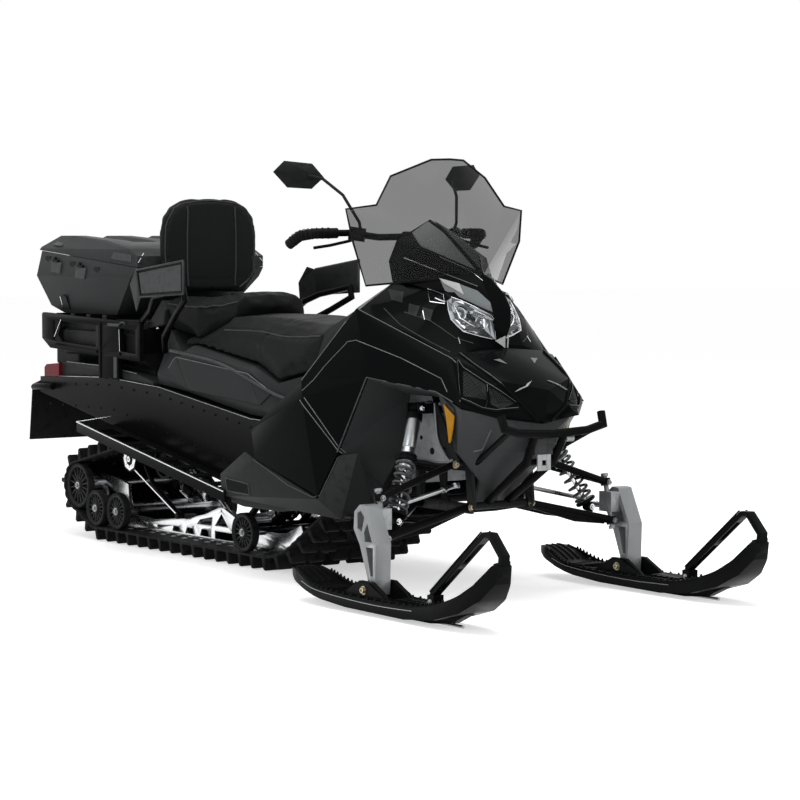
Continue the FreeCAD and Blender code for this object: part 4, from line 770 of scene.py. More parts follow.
FRAME = (
    ("tunnel", "metal", 1.2, 30, 2, "black_metal"),
    ("running_boards", "metal", 1.2, 30, 2, "black_metal"),
    ("front_bumper", "metal", 1.2, 30, 2, "black_metal"),
    ("grab_bars", "metal", 1.2, 30, 2, "black_metal"),
    ("cargo_rack", "metal", 1.2, 30, 2, "black_metal"),
    ("rear_bumper", "metal", 1.2, 30, 2, "black_metal"),
    ("suspension_arms", "metal", 1.5, 35, 2, "black_metal"),
    ("bulkhead", "matte", 1, 30, 2, "cast_alloy"),
    ("spindle_left", "silver", 2.5, 25, 3, "cast_alloy"),
    ("tie_rod_left", "steel", 0.8, 35, 2, "steel"),
    ("ski_left", "ski", 3, 20, 3, "ski_plastic"),
    ("spindle_right", "silver", 2.5, 25, 3, "cast_alloy"),
    ("tie_rod_right", "steel", 0.8, 35, 2, "steel"),
    ("ski_right", "ski", 3, 20, 3, "ski_plastic"),
    ("handlebar", "metal", 1, 35, 2, "black_metal"),
    ("bar_controls", "metal", 1.5, 35, 2, "dark_plastic"),
    ("mirrors", "matte", 7, 14, 4, "dark_plastic"),
    ("grips", "grip", 1.5, 35, 2, "grip_rubber"),
    ("slide_rails", "rail", 1.2, 30, 2, "alloy"),
)
PAINTED = (("engine", "silver"), ("drive_axle", "steel"), ("frame_tubes", "metal"), ("skid_arms", "metal"),
           ("tail_lamps", "red"))


def dress_all(rows, unit):
    for node, look, edge, angle, segments, slot in rows:
        dressed(node, look, edge * unit, angle, segments)


class SNOW_OT_panels(bpy.types.Operator):
    """Body panels with rounded edges"""
    bl_idname = "snow.panels"
    bl_label = "Body panels"

    def execute(self, context):
        dress_all(PANELS, sizes().panel_edge)
        return {"FINISHED"}


class SNOW_OT_frame(bpy.types.Operator):
    """Tunnel, boards, bulkhead, bumpers, arms and castings"""
    bl_idname = "snow.frame"
    bl_label = "Frame and castings"

    def execute(self, context):
        dress_all(FRAME, MM)
        for node, name in PAINTED:
            paint(node, finish(name))
        return {"FINISHED"}


class SNOW_OT_cargo(bpy.types.Operator):
    """Cargo box and lid"""
    bl_idname = "snow.cargo"
    bl_label = "Cargo box"

    def execute(self, context):
        dress_all(CARGO, sizes().panel_edge)
        return {"FINISHED"}


class SNOW_OT_glass(bpy.types.Operator):
    """Windshield and headlamps"""
    bl_idname = "snow.glass"
    bl_label = "Windshield and lamps"

    def execute(self, context):
        dressed("windshield", "screen", 0.001, 30, 2)
        dressed("headlamps", "dark", 0.001, 20, 2, "headlamp_bodies")
        return {"FINISHED"}


# Cushions: a copy of the frame's form, remeshed, puffed by cloth and sewn

def select_only(obj):
    bpy.ops.object.select_all(action="DESELECT")
    obj.select_set(True)
    bpy.context.view_layer.objects.active = obj


def apply_all(obj):
    select_only(obj)
    for m in list(obj.modifiers):
        bpy.ops.object.modifier_apply(modifier=m.name)


def mesh_points(mesh):
    flat = np.zeros(len(mesh.vertices) * 3)
    mesh.vertices.foreach_get("co", flat)
    return flat.reshape(-1, 3)


def mesh_normals(mesh):
    flat = np.zeros(len(mesh.vertices) * 3)
    mesh.vertex_normals.foreach_get("vector", flat)
    return flat.reshape(-1, 3)


def move_points(mesh, points):
    mesh.vertices.foreach_set("co", points.reshape(-1))
    mesh.update()


CLOTH_FRAMES = 14
CLOTH_PRESSURE = 4.0
SEAM_DEPTH = 0.0045
SEAM_WIDTH = 0.006
WELT_LIFT = 0.0008
CUSHION_SPARE = 0.004


def puff(obj, frames, pressure, most):
    """Cloth with air pressure; no point moves further than most."""
    start = mesh_points(obj.data)
    cloth = obj.modifiers.new("Cloth", "CLOTH")
    s = cloth.settings
    s.quality = 5
    s.mass = 0.4
    s.use_pressure = True
    s.uniform_pressure_force = pressure
    s.tension_stiffness = 40
    s.compression_stiffness = 40
    s.shear_stiffness = 10
    s.bending_stiffness = 6
    s.effector_weights.gravity = 0
    scene = bpy.context.scene
    for f in range(1, frames + 1):
        scene.frame_set(f)
    apply_all(obj)
    scene.frame_set(1)
    moved = mesh_points(obj.data) - start
    length = np.linalg.norm(moved, axis=1, keepdims=True)
    move_points(obj.data, start + moved * np.minimum(1, most / np.maximum(length, 1e-9)))


def sew(mesh, lines, depth, width):
    """Presses a sewn channel into the surface along each line of points."""
    for line in lines:
        pts = mesh_points(mesh)
        normals = mesh_normals(mesh)
        path = np.array([tuple(p) for p in smooth_path([Vector(q) * MM for q in line], 14)])
        gap = np.full(len(pts), 1.0)
        for p in path:
            gap = np.minimum(gap, np.linalg.norm(pts - p, axis=1))
        move_points(mesh, pts - normals * (depth * np.exp(-(gap / width) ** 2))[:, None])


def snapped(mesh, line, lift=0.0):
    """A line of points laid on a surface."""
    tree = BVHTree.FromPolygons([v.co for v in mesh.vertices], [p.vertices for p in mesh.polygons])
    out = []
    for p in smooth_path([Vector(q) * MM for q in line], 8):
        hit, normal, index, distance = tree.find_nearest(p)
        out.append((hit + normal * lift) / MM)
    return out


def even_copy(node, name, voxel, rounding):
    """A copy of a frame node with an even mesh and eased corners."""
    mesh = joined_copy(node)
    obj = bpy.data.objects.new(name, mesh)
    bpy.context.scene.collection.objects.link(obj)
    work = bmesh.new()
    work.from_mesh(mesh)
    bmesh.ops.triangulate(work, faces=work.faces)
    bmesh.ops.recalc_face_normals(work, faces=work.faces)
    work.to_mesh(mesh)
    work.free()
    remesh = obj.modifiers.new("Even mesh", "REMESH")
    remesh.mode = "VOXEL"
    remesh.voxel_size = voxel
    ease = obj.modifiers.new("Rounding", "SMOOTH")
    ease.factor = 0.5
    ease.iterations = rounding
    apply_all(obj)
    return obj


def cushion(node, name, seams, welts, voxel, inset, rounding, most):
    """Padded piece: drawn in, puffed back out, kept near the node's box, then sewn and piped."""
    obj = even_copy(node, name, voxel, rounding)
    move_points(obj.data, mesh_points(obj.data) - mesh_normals(obj.data) * inset)
    puff(obj, CLOTH_FRAMES, CLOTH_PRESSURE, most)
    ease = obj.modifiers.new("Ease", "SMOOTH")
    ease.iterations = 3
    apply_all(obj)
    low, high = (np.array(corner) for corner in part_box(node))
    move_points(obj.data, np.clip(mesh_points(obj.data), low - CUSHION_SPARE, high + CUSHION_SPARE))
    sew(obj.data, seams, SEAM_DEPTH, SEAM_WIDTH)
    obj.data.materials.clear()
    obj.data.materials.append(finish("vinyl"))
    for face in obj.data.polygons:
        face.use_smooth = True
    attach(obj, "chassis")
    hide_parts(node)
    cord = Shape()
    for line in welts:
        cord.tube(snapped(obj.data, line, WELT_LIFT), sizes().piping / MM, 8)
    if welts:
        # Piping in the lighter vinyl: a painted highlight along the seams.
        cord.piece(name + "_piping", "welt", "seat_vinyl", angle=60)


def mirror_lines(lines):
    return list(lines) + [[(x, -y, z) for x, y, z in line] for line in lines]


# Seams and welts in millimetres: on the left side, or from side to side
DRIVER_WELT = ((-318, 205, 810), (-200, 207, 812), (-60, 208, 812), (70, 209, 800), (180, 206, 806),
               (270, 203, 806))
DRIVER_KNEE = ((-60, 226, 700), (-40, 212, 790), (-20, 190, 842))
DRIVER_CROSS = (((-150, -172, 850), (-140, 0, 862), (-150, 172, 850)),
                ((60, -180, 842), (75, 0, 858), (60, 180, 842)))
PASSENGER_RIM = ((-686, 214, 895), (-600, 214, 893), (-480, 213, 890), (-400, 185, 900), (-335, 140, 908))
PASSENGER_CROSS = ((-560, -190, 914), (-556, 0, 912), (-560, 190, 914))
BACK_EDGE = ((-727, 120, 950), (-727, 186, 1010), (-727, 190, 1150), (-727, 172, 1205), (-727, 130, 1250),
             (-727, 0, 1264))
BACK_PANEL = ((-727, 100, 955), (-727, 104, 1080), (-727, 100, 1240))
BACK_LOW = ((-727, -170, 985), (-727, 0, 975), (-727, 170, 985))


class SNOW_OT_cushions(bpy.types.Operator):
    """Driver seat, passenger seat and backrest"""
    bl_idname = "snow.cushions"
    bl_label = "Cushions"

    def execute(self, context):
        voxel = sizes().cushion_voxel
        welts = mirror_lines([DRIVER_WELT])
        seams = welts + list(DRIVER_CROSS) + mirror_lines([DRIVER_KNEE])
        cushion("driver_seat", "driver_cushion", seams, welts, voxel * 1.15, 0.004, 6, 0.010)
        welts = mirror_lines([PASSENGER_RIM])
        cushion("passenger_seat", "passenger_cushion", welts + [PASSENGER_CROSS], welts, voxel, 0.004, 6,
                0.009)
        rim = list(BACK_EDGE) + [(x, -y, z) for x, y, z in BACK_EDGE[-2::-1]]
        panels = mirror_lines([BACK_PANEL])
        cushion("backrest", "backrest_cushion", [rim, BACK_LOW] + panels, [rim] + panels,
                voxel * 0.8, 0.003, 5, 0.010)
        return {"FINISHED"}


# Track and its wheels: lengths in millimetres, on the same circles as the frame's track

TRACK_CIRCLES = ((-1290, 196, 85), (-1159, 120, 68), (-20, 402, 350), (362, 330, 85), (-858, 312, 68))
BELT = 8
TRACK_HALF = 254
LUG_HEIGHT = 43
LUG_LEVELS = ((-0.04, 13, 0), (0.22, 9.5, 1), (0.85, 7.5, 4), (1.0, 5.5, 7))


class Loop:
    """The closed path of the belt's outer face round its circles."""

    def __init__(self, grow):
        marks = []
        for i, (x0, z0, r0) in enumerate(TRACK_CIRCLES):
            x1, z1, r1 = TRACK_CIRCLES[(i + 1) % len(TRACK_CIRCLES)]
            a = math.atan2(z1 - z0, x1 - x0) - math.acos((r0 - r1) / math.hypot(x1 - x0, z1 - z0))
            marks.append((a, x0 + (r0 + grow) * math.cos(a), z0 + (r0 + grow) * math.sin(a),
                          x1 + (r1 + grow) * math.cos(a), z1 + (r1 + grow) * math.sin(a)))
        self.spans = []
        for i, (x, z, r) in enumerate(TRACK_CIRCLES):
            start, end = marks[i - 1][0], marks[i][0]
            while end < start:
                end += 2 * math.pi
            self.spans.append(((r + grow) * (end - start), "arc", (x, z, r + grow, start)))
            a, x0, z0, x1, z1 = marks[i]
            self.spans.append((math.hypot(x1 - x0, z1 - z0), "line", (x0, z0, x1, z1)))
        self.length = sum(span[0] for span in self.spans)

    def at(self, s):
        """Place and outward normal at a distance along the path."""
        s %= self.length
        for length, kind, v in self.spans:
            if s <= length:
                break
            s -= length
        if kind == "arc":
            a = v[3] + s / v[2]
            return vec(v[0] + v[2] * math.cos(a), 0, v[1] + v[2] * math.sin(a)), vec(math.cos(a), 0, math.sin(a))
        t = s / length
        return (vec(v[0] + (v[2] - v[0]) * t, 0, v[1] + (v[3] - v[1]) * t),
                vec((v[3] - v[1]) / length, 0, (v[0] - v[2]) / length))


def frustum(shape, place, out, along, levels, y0, y1, height):
    """A tapered block: each level is (share of height, half length, inset at both ends)."""
    corners = []
    for share, half, inset in levels:
        at = place + out * (height * share)
        for da, y in ((-half, y0 + inset), (half, y0 + inset), (half, y1 - inset), (-half, y1 - inset)):
            corners.append(at + along * da + vec(0, y, 0))
    top = (len(levels) - 1) * 4
    shape.add(corners, band_faces(len(levels), 4) + [[0, 3, 2, 1], [top, top + 1, top + 2, top + 3]])


class SNOW_OT_track(bpy.types.Operator):
    """Belt, lugs, drive lugs and guide clips"""
    bl_idname = "snow.track"
    bl_label = "Track"

    def belt(self, loop, rows):
        """The belt: a section carried round the loop, notched at its edges."""
        section = [(-TRACK_HALF, -7.8), (-TRACK_HALF, -1.5), (-TRACK_HALF + 3, 0), (-96, 0), (-91, -1.8),
                   (-81, -1.8), (-76, 0), (76, 0), (81, -1.8), (91, -1.8), (96, 0), (TRACK_HALF - 3, 0),
                   (TRACK_HALF, -1.5), (TRACK_HALF, -7.8), (120, -7.8), (-120, -7.8)]
        count, n = rows * 6, len(section)
        corners = []
        for k in range(count):
            place, out = loop.at(loop.length * k / count)
            notch = 4 if k % 3 == 0 else 0
            for y, h in section:
                edge = notch if abs(y) > TRACK_HALF - 4 else 0
                corners.append(place + out * h + vec(0, y - math.copysign(edge, y), 0))
        return Shape().add(corners, band_faces(count, n, closed=True))

    def execute(self, context):
        rows = sizes().lug_rows
        loop = Loop(BELT)
        pitch = loop.length / rows
        shape = self.belt(loop, rows)
        shape.piece("track_belt", "rubber", "track_rubber", angle=40, replaces=("track",))
        lugs, drive, clips = Shape(), Shape(), Shape()
        for i in range(rows):
            place, out = loop.at(pitch * (i + 0.5))
            along = vec(-out.z, 0, out.x)
            bands = [(98, 168), (176, 246)] + ([(-2, 74)] if i % 2 == 0 else [])
            for y0, y1 in bands:
                shift = along * (3 if y0 > 100 else -2)
                frustum(lugs, place + shift, out, along, LUG_LEVELS, y0, y1, LUG_HEIGHT)
                frustum(lugs, place + shift, out, along, LUG_LEVELS, -y1, -y0, LUG_HEIGHT)
            for y in (-66, 56):
                frustum(drive, place - out * (BELT - 0.5), -out, along, ((0, 12, 0), (1, 6, 2)), y, y + 10, 11)
            for y in (-189, 173):
                frustum(clips, place - out * (BELT - 0.6), -out, along, ((0, 9, 0), (0.5, 9, 0), (1, 6, 3)), y,
                        y + 16, 2.6)
        lugs.piece("track_lugs", "rubber", "track_rubber", bevel=0.0022, segments=1, angle=25)
        drive.piece("drive_lugs", "rubber", "track_rubber", bevel=0.0015, segments=1)
        clips.piece("guide_clips", "steel", "steel")
        return {"FINISHED"}


# Idler wheels: x, z and radius, from the rear to the front; the middle of a wheel is at WHEEL_MIDDLE
WHEEL_PLACES = ((-1290, 196, 85), (-1159, 120, 68), (-1004, 120, 68), (-140, 120, 68))
WHEEL_MIDDLE = 231
AXLE_HALF = 247


class SNOW_OT_wheels(bpy.types.Operator):
    """Idler wheels with tyres, spokes, axles and bolts"""
    bl_idname = "snow.wheels"
    bl_label = "Idler wheels"

    def spokes(self, shape, centre, radius):
        """Tapered spokes between the hub and the rim."""
        count = sizes().spokes
        for k in range(count):
            a = 2 * math.pi * (k + 0.5) / count
            ray = vec(math.cos(a), 0, math.sin(a))
            turn = vec(-math.sin(a), 0, math.cos(a))
            inner = centre + ray * 23 - vec(0, 9, 0)
            outer = centre + ray * (radius - 15) - vec(0, 7, 0)
            outline = [inner + turn * 2.6, outer + turn * 1.8, outer - turn * 1.8, inner - turn * 2.6]
            shape.prism(outline, vec(0, 16, 0))

    def execute(self, context):
        tyres, hubs, bolts, axles = Shape(), Shape(), Shape(), Shape()
        cross = (0, 1, 0)
        for x, z, r in WHEEL_PLACES:
            axles.turned((x, -AXLE_HALF, z), cross, [(13, 0), (14, 2), (14, 492), (13, 494)], 20)
            for sign in (-1, 1):
                at = (x, sign * WHEEL_MIDDLE, z)
                tyres.ring(at, cross, [(r - 10, -13.5), (r - 3, -14.8), (r - 0.3, -12), (r - 0.3, 12),
                                       (r - 3, 14.8), (r - 10, 13.5)], 48)
                hubs.ring(at, cross, [(r - 17, -8), (r - 14, -12), (r - 9.5, -13.2), (r - 9.5, 13.2), (r - 14, 12),
                                      (r - 17, 8)], 48)
                hubs.ring(at, cross, [(14.2, -14), (20, -15), (23, -12), (26, -8), (26, 8), (23, 12), (20, 15),
                                      (14.2, 14)], 32)
                self.spokes(hubs, Vector(at), r)
                bolts.bolt((x, sign * AXLE_HALF, z), (0, sign, 0), 8, 5)
        tyres.piece("wheel_tyres", "rubber", "wheel_plastic", angle=30)
        hubs.piece("wheel_hubs", "wheel", "wheel_plastic", angle=30, replaces=("idler_wheels",))
        axles.piece("wheel_axles", "steel", "wheel_plastic", angle=40)
        bolts.piece("wheel_bolts", "damper", "steel", angle=25)
        return {"FINISHED"}


CLOSED_TURNS = 0.045


def helix(start, end, radius, turns, per_turn=18):
    """Points of a coil wound between two places, with its end turns closed up."""
    first, last = Vector(start), Vector(end)
    way = (last - first).normalized()
    side, other = cross_frame(way)
    points = []
    count = int(turns * per_turn)
    for i in range(count + 1):
        t = i / count
        eased = t - CLOSED_TURNS * math.sin(2 * math.pi * t)
        a = 2 * math.pi * turns * t
        points.append(first.lerp(last, eased) + side * (radius * math.cos(a)) + other * (radius * math.sin(a)))
    return points


SHOCK_LOW = (948, 385, 262)
SHOCK_HIGH = (838, 225, 598)
SKID_SHOCK_LOW = (-560, 0, 104)
SKID_SHOCK_HIGH = (-840, 0, 290)


class SNOW_OT_shocks(bpy.types.Operator):
    """Ski shocks with springs, and the springs of the skid"""
    bl_idname = "snow.shocks"
    bl_label = "Shocks and springs"

    def collars(self, black, low, way, span, seat):
        """Top cap, spring seats with their notched ring, and the lower seat."""
        black.turned(low, way, [(24, span - 46), (26, span - 42), (25, span - 24), (14, span - 12)], 32)
        black.ring(low, way, [(22.3, seat - 2), (33, seat - 2), (34, seat), (34, seat + 8), (31, seat + 10),
                              (22.3, seat + 10)], 36)
        black.ring(low, way, [(22.3, seat + 12), (30, seat + 12), (31, seat + 14), (31, seat + 20),
                              (29, seat + 22), (22.3, seat + 22)], 36)
        side, other = cross_frame(way)
        for k in range(12):
            a = 2 * math.pi * k / 12
            ray = side * math.cos(a) + other * math.sin(a)
            black.slab(low + way * (seat + 5) + ray * 33.5, way, ray.cross(way), 9, 5, 3)
        black.lathe(low, way, [(8, 12), (30, 14), (34, 17), (34, 23), (31, 26), (8, 26)], 36)

    def eyes(self, black, rods, low, high):
        """Eyes at both ends, their brackets and bolts."""
        black.turned((low.x - 16, low.y, low.z), (1, 0, 0), [(13, 0), (14.6, 2), (14.6, 30), (13, 32)], 24)
        black.turned((high.x - 18, high.y, high.z), (1, 0, 0), [(13, 0), (15, 2), (15, 34), (13, 36)], 24)
        black.block((806, 174, 580), (814, 240, 612)).block((862, 174, 580), (870, 240, 612))
        rods.bolt((806, 225, 598), (-1, 0, 0), 8, 6).bolt((870, 225, 598), (1, 0, 0), 8, 6)
        rods.bolt((966, 385, 262), (1, 0, 0), 7, 6)

    def front(self):
        silver, black, rods, coils = Shape(), Shape(), Shape(), Shape()
        low, high = Vector(SHOCK_LOW), Vector(SHOCK_HIGH)
        way = (high - low).normalized()
        span = (high - low).length
        silver.turned(low, way, [(20, span * 0.45), (22, span * 0.46), (22, span * 0.62), (21, span * 0.625),
                                 (21, span * 0.64), (22, span * 0.645), (22, span - 44)], 32)
        rods.turned(low, way, [(7.5, 6), (7.5, span * 0.5)], 20)
        seat = span * 0.52
        self.collars(black, low, way, span, seat)
        self.eyes(black, rods, low, high)
        coils.tube(helix(low + way * 29, low + way * (seat - 7), 28.3, sizes().spring_turns), 4.7, 10)
        for shape in (silver, black, rods, coils):
            shape.both_sides()
        silver.piece("shock_bodies", "damper", "steel", angle=30, replaces=("front_shocks",))
        black.piece("shock_collars", "metal", "black_metal", bevel=0.0008, segments=1)
        rods.piece("shock_rods", "chrome", "steel", angle=25)
        coils.piece("ski_springs", "spring", "steel", angle=60, replaces=("shock_springs",))

    def skid(self):
        """The skid's shock, cross shafts and two coil springs."""
        body, coils = Shape(), Shape()
        low, high = Vector(SKID_SHOCK_LOW), Vector(SKID_SHOCK_HIGH)
        way = (high - low).normalized()
        span = (high - low).length
        body.turned(low, way, [(21, span * 0.5), (24, span * 0.52), (24, span * 0.9), (16, span)], 28)
        body.turned(low, way, [(7.8, 0), (7.8, span * 0.52)], 18)
        body.turned((-560, -153, 104), (0, 1, 0), [(11, 0), (11, 306)], 20)
        body.turned((-760, -153, 94), (0, 1, 0), [(12, 0), (12, 306)], 20)
        coils.tube(helix((-760, 54, 94), (-760, 110, 94), 25.5, 7), 3.9, 8)
        coils.tube(helix((-760, -54, 94), (-760, -110, 94), 25.5, 7), 3.9, 8)
        body.piece("skid_shock", "steel", "steel", angle=30, replaces=("skid_springs",))
        coils.piece("torsion_springs", "spring", "steel", angle=60)

    def execute(self, context):
        self.front()
        self.skid()
        return {"FINISHED"}


SKI_MIDDLE = 500


class SNOW_OT_skis(bpy.types.Operator):
    """Ribs, rims, bolts and wear bars of the skis"""
    bl_idname = "snow.skis"
    bl_label = "Ski details"

    def edges(self, y, ribs, bright, gold, dark):
        """Rolled rims with teeth, side trim, bolts and the loop's two struts."""
        for edge in (-1, 1):
            rim = y + edge * 70
            edge_line = [(650, y + edge * 46, 97), (700, y + edge * 60, 80), (780, rim, 56), (900, rim, 47),
                         (1100, rim, 44), (1280, rim, 48), (1390, y + edge * 69, 65), (1490, y + edge * 64, 98),
                         (1560, y + edge * 50, 142), (1606, y + edge * 32, 190)]
            ribs.tube(smooth_path(edge_line, 4), 5, 8)
            for place in smooth_path(edge_line, 10)[8:66:2]:
                ribs.lathe(place, (0, 0, 1), [(4.6, 2), (3, 11), (CORE, 12.5)], 6)
            for k in range(30):
                x = 846 + 14.5 * k
                ribs.block((x, y + edge * 58 - 5, 42), (x + 6, y + edge * 58 + 5, 53))
            bright.tube(smooth_path([(700, y + edge * 65, 66), (790, y + edge * 75.4, 50),
                                     (950, y + edge * 75.6, 40), (1120, y + edge * 75.6, 36),
                                     (1290, y + edge * 75.2, 40)], 4), 0.9, 6)
            gold.bolt((1018, y + edge * 54, 70), (0, edge, 0), 10, 8)
            ribs.prism([(900, y + edge * 50, 40), (1140, y + edge * 50, 40), (1110, y + edge * 50, 62),
                        (1040, y + edge * 50, 92), (985, y + edge * 50, 92), (925, y + edge * 50, 60)],
                       (0, edge * 4, 0))
            dark.tube([(1300, y + edge * 16, 94), (1545, y + edge * 16, 291)], 3, 6)

    def cross_ribs(self, y, ribs):
        """Ribs across the tip, the front and the rear, and three along the tail."""
        for k in range(9):
            x = 1300 + 15 * k
            z = 50 + 26 * (k / 8) ** 1.5
            ribs.block((x, y - 52, z - 8), (x + 5, y + 52, z + 4))
        for k in range(5):
            x = 780 + 13 * k
            ribs.block((x, y - 52, 46), (x + 5, y + 52, 57))
        for dy in (-24, 0, 24):
            ribs.tube(smooth_path([(622, y + dy, 101), (650, y + dy, 99), (690, y + dy, 85), (735, y + dy, 64)],
                                  4), 3, 6)
        for dx in range(5):
            x = 1155 + 26 * dx
            ribs.block((x, y - 30, 40), (x + 12, y + 30, 56))

    def fittings(self, y, bright, dark):
        """Loop foot and tip clamps with bolts, wear bar and pivot pad."""
        dark.block((1290, y - 19, 44), (1322, y + 19, 84))
        dark.prism([(1588, y - 19, 170), (1632, y - 19, 178), (1636, y - 19, 214), (1604, y - 19, 206)],
                   (0, 38, 0))
        bright.bolt((1612, y - 19, 194), (0, -1, 0), 6, 5).bolt((1612, y + 19, 194), (0, 1, 0), 6, 5)
        bright.bolt((1306, y - 19, 64), (0, -1, 0), 6, 5).bolt((1306, y + 19, 64), (0, 1, 0), 6, 5)
        bright.tube([(830, y, 5), (1440, y, 5)], 5, 8)
        dark.block((968, y - 26, 36), (1072, y + 26, 42))

    def one(self, side, sign):
        body = "ski_" + side
        y = sign * SKI_MIDDLE
        ribs, bright, gold, dark = Shape(), Shape(), Shape(), Shape()
        self.edges(y, ribs, bright, gold, dark)
        self.cross_ribs(y, ribs)
        self.fittings(y, bright, dark)
        ribs.piece(body + "_ribs", "ski", "ski_plastic", body, bevel=0.0012, segments=1)
        dark.piece(body + "_clamps", "metal", "black_metal", body, bevel=0.0015)
        bright.piece(body + "_trim", "steel", "steel", body, angle=35)
        gold.piece(body + "_pivot", "gold", "steel", body, angle=25)

    def execute(self, context):
        for side, sign in SIDES:
            self.one(side, sign)
        return {"FINISHED"}


# Pod, lamps and nose: places in millimetres on the near side, mirrored where both sides have them

POD_STATIONS = ((606, ((150, 985), (165, 1052), (134, 1119), (0, 1187))),
                (690, ((166, 985), (168, 1061), (109, 1095), (0, 1142))),
                (768, ((130, 962), (116, 1029), (79, 1067), (0, 1088))),
                (850, ((72, 950), (64, 997), (24, 1026), (0, 1033))),
                (900, ((38, 935), (30, 975), (9, 992), (0, 995))), (962, ((8, 903), (9, 914), (6, 922), (0, 928))))
POD_FACET = ((624, 84, 1141), (690, 98, 1098), (768, 72, 1069), (862, 10, 1024), (690, 9, 1142), (614, 14, 1178))
POD_OUT = (0.35, -0.8, 0.5)
RIDGE = ((884, 1012, 4, 10), (912, 990, 18, 14), (956, 936, 38, 18), (978, 890, 46, 20), (984, 840, 40, 18),
         (986, 796, 8, 8))


class SNOW_OT_cowl(bpy.types.Operator):
    """Gauge pod with its facets, painted highlight lines and the light bar above the lamps; the facets are coloured
    as painted reflections
    """
    bl_idname = "snow.cowl"
    bl_label = "Gauge pod"

    def pod(self):
        """Faceted shell through the stations, each given for one side and mirrored."""
        corners = []
        for x, half in POD_STATIONS:
            corners += [(x, -y, z) for y, z in half] + [(x, y, z) for y, z in half[-2::-1]]
        rows, n = len(POD_STATIONS), 7
        ends = [list(range(n)), [(rows - 1) * n + k for k in reversed(range(n))]]
        shape = Shape().add(corners, band_faces(rows, n) + ends)
        shape.piece("pod_shell", "gloss", "gloss_black", bevel=0.003, segments=3, angle=8, replaces=("gauge_pod",))

    def ridge(self):
        """Raised ridge from the pod's tip down between the lamps."""
        corners = []
        for x, z, out, half in RIDGE:
            low, high = z - 4, z + out * 0.4
            corners += [(x - 14, -half, low), (x + out, -3, high), (x + out, 3, high), (x - 14, half, low)]
        ends = [[0, 1, 2, 3], [4 * len(RIDGE) - 1 - k for k in range(4)]]
        shape = Shape().add(corners, band_faces(len(RIDGE), 4) + ends)
        shape.piece("centre_strip", "gloss", "dark_plastic", bevel=0.002, segments=3, angle=20)

    def facets(self):
        """The pod's two top facets, coloured as a painted reflection: the near one light grey, the far one dark grey.
        """
        # Painted reflection: the near facet is light as if it mirrored a bright lamp, the far one dark.
        for name, look, sign in (("near", "facet", -1), ("far", "pale_matte", 1)):
            outline = [(x, sign * y, z) for x, y, z in POD_FACET]
            facet = Shape().prism(outline, (0.6, sign * 0.6, 2.4))
            facet.piece("pod_facet_" + name, look, "dark_plastic", bevel=0.0008, segments=1)

    def lines(self):
        """Painted highlights along the pod's edges, dimmer at their ends."""
        lines = Shape()
        shell = Skin("pod_shell")
        lines.tube(shell.line([(690, -161, 1059), (735, -137, 1044), (784, -105, 1022)], POD_OUT, 0.8), 1.9, 6)
        lines.tube(shell.line([(768, -79, 1064), (850, -26, 1025), (900, -11, 992)], POD_OUT, 0.5), 0.9, 6)
        lines.both_sides()
        lines.piece("pod_lines", "rail", "alloy", angle=60)
        dim_highlights = Shape()
        edge = shell.line([(784, -105, 1022), (850, -66, 997), (900, -32, 975)], POD_OUT, 0.5)
        dim_highlights.tube(edge, 1.0, 6).both_sides()
        dim_highlights.piece("pod_line_ends", "edge", "alloy", angle=60)

    def light_bar(self):
        """Light bars beside the ridge, with glints at their ends."""
        bar, glint = Shape(), Shape()
        bar.prism([(803, -106, 993), (824, -103, 960), (952, -13, 893), (958, -12, 915), (906, -37, 961),
                   (862, -69, 980)], (-5, 4, -1))
        glint.prism([(800, -109, 1000), (862, -74, 983), (875, -67, 948), (822, -105, 984)], (-3, 2, 0))
        glint.prism([(980, -24, 806), (1006, -4, 822), (1004, -3, 784)], (3, -3, 0))
        bar.both_sides().piece("light_bar", "lamp_bar", "lens", bevel=0.0012)
        glint.both_sides().piece("light_bar_glint", "pale_facet", "lens", bevel=0.0006, segments=1)

    def trim(self):
        """Bright outline beside each lamp."""
        chrome = Shape()
        chrome.tube([(769, -131, 967), (850, -129, 949), (868, -137, 921), (828, -164, 927)], 1.7, 6, closed=True)
        chrome.tube([(838, -152, 939), (868, -135, 926)], [1.4, 2.6], 6)
        chrome.both_sides().piece("lamp_trim", "chrome", "steel", angle=40)

    def execute(self, context):
        for step in (self.pod, self.ridge, self.facets, self.lines, self.light_bar, self.trim):
            step()
        return {"FINISHED"}


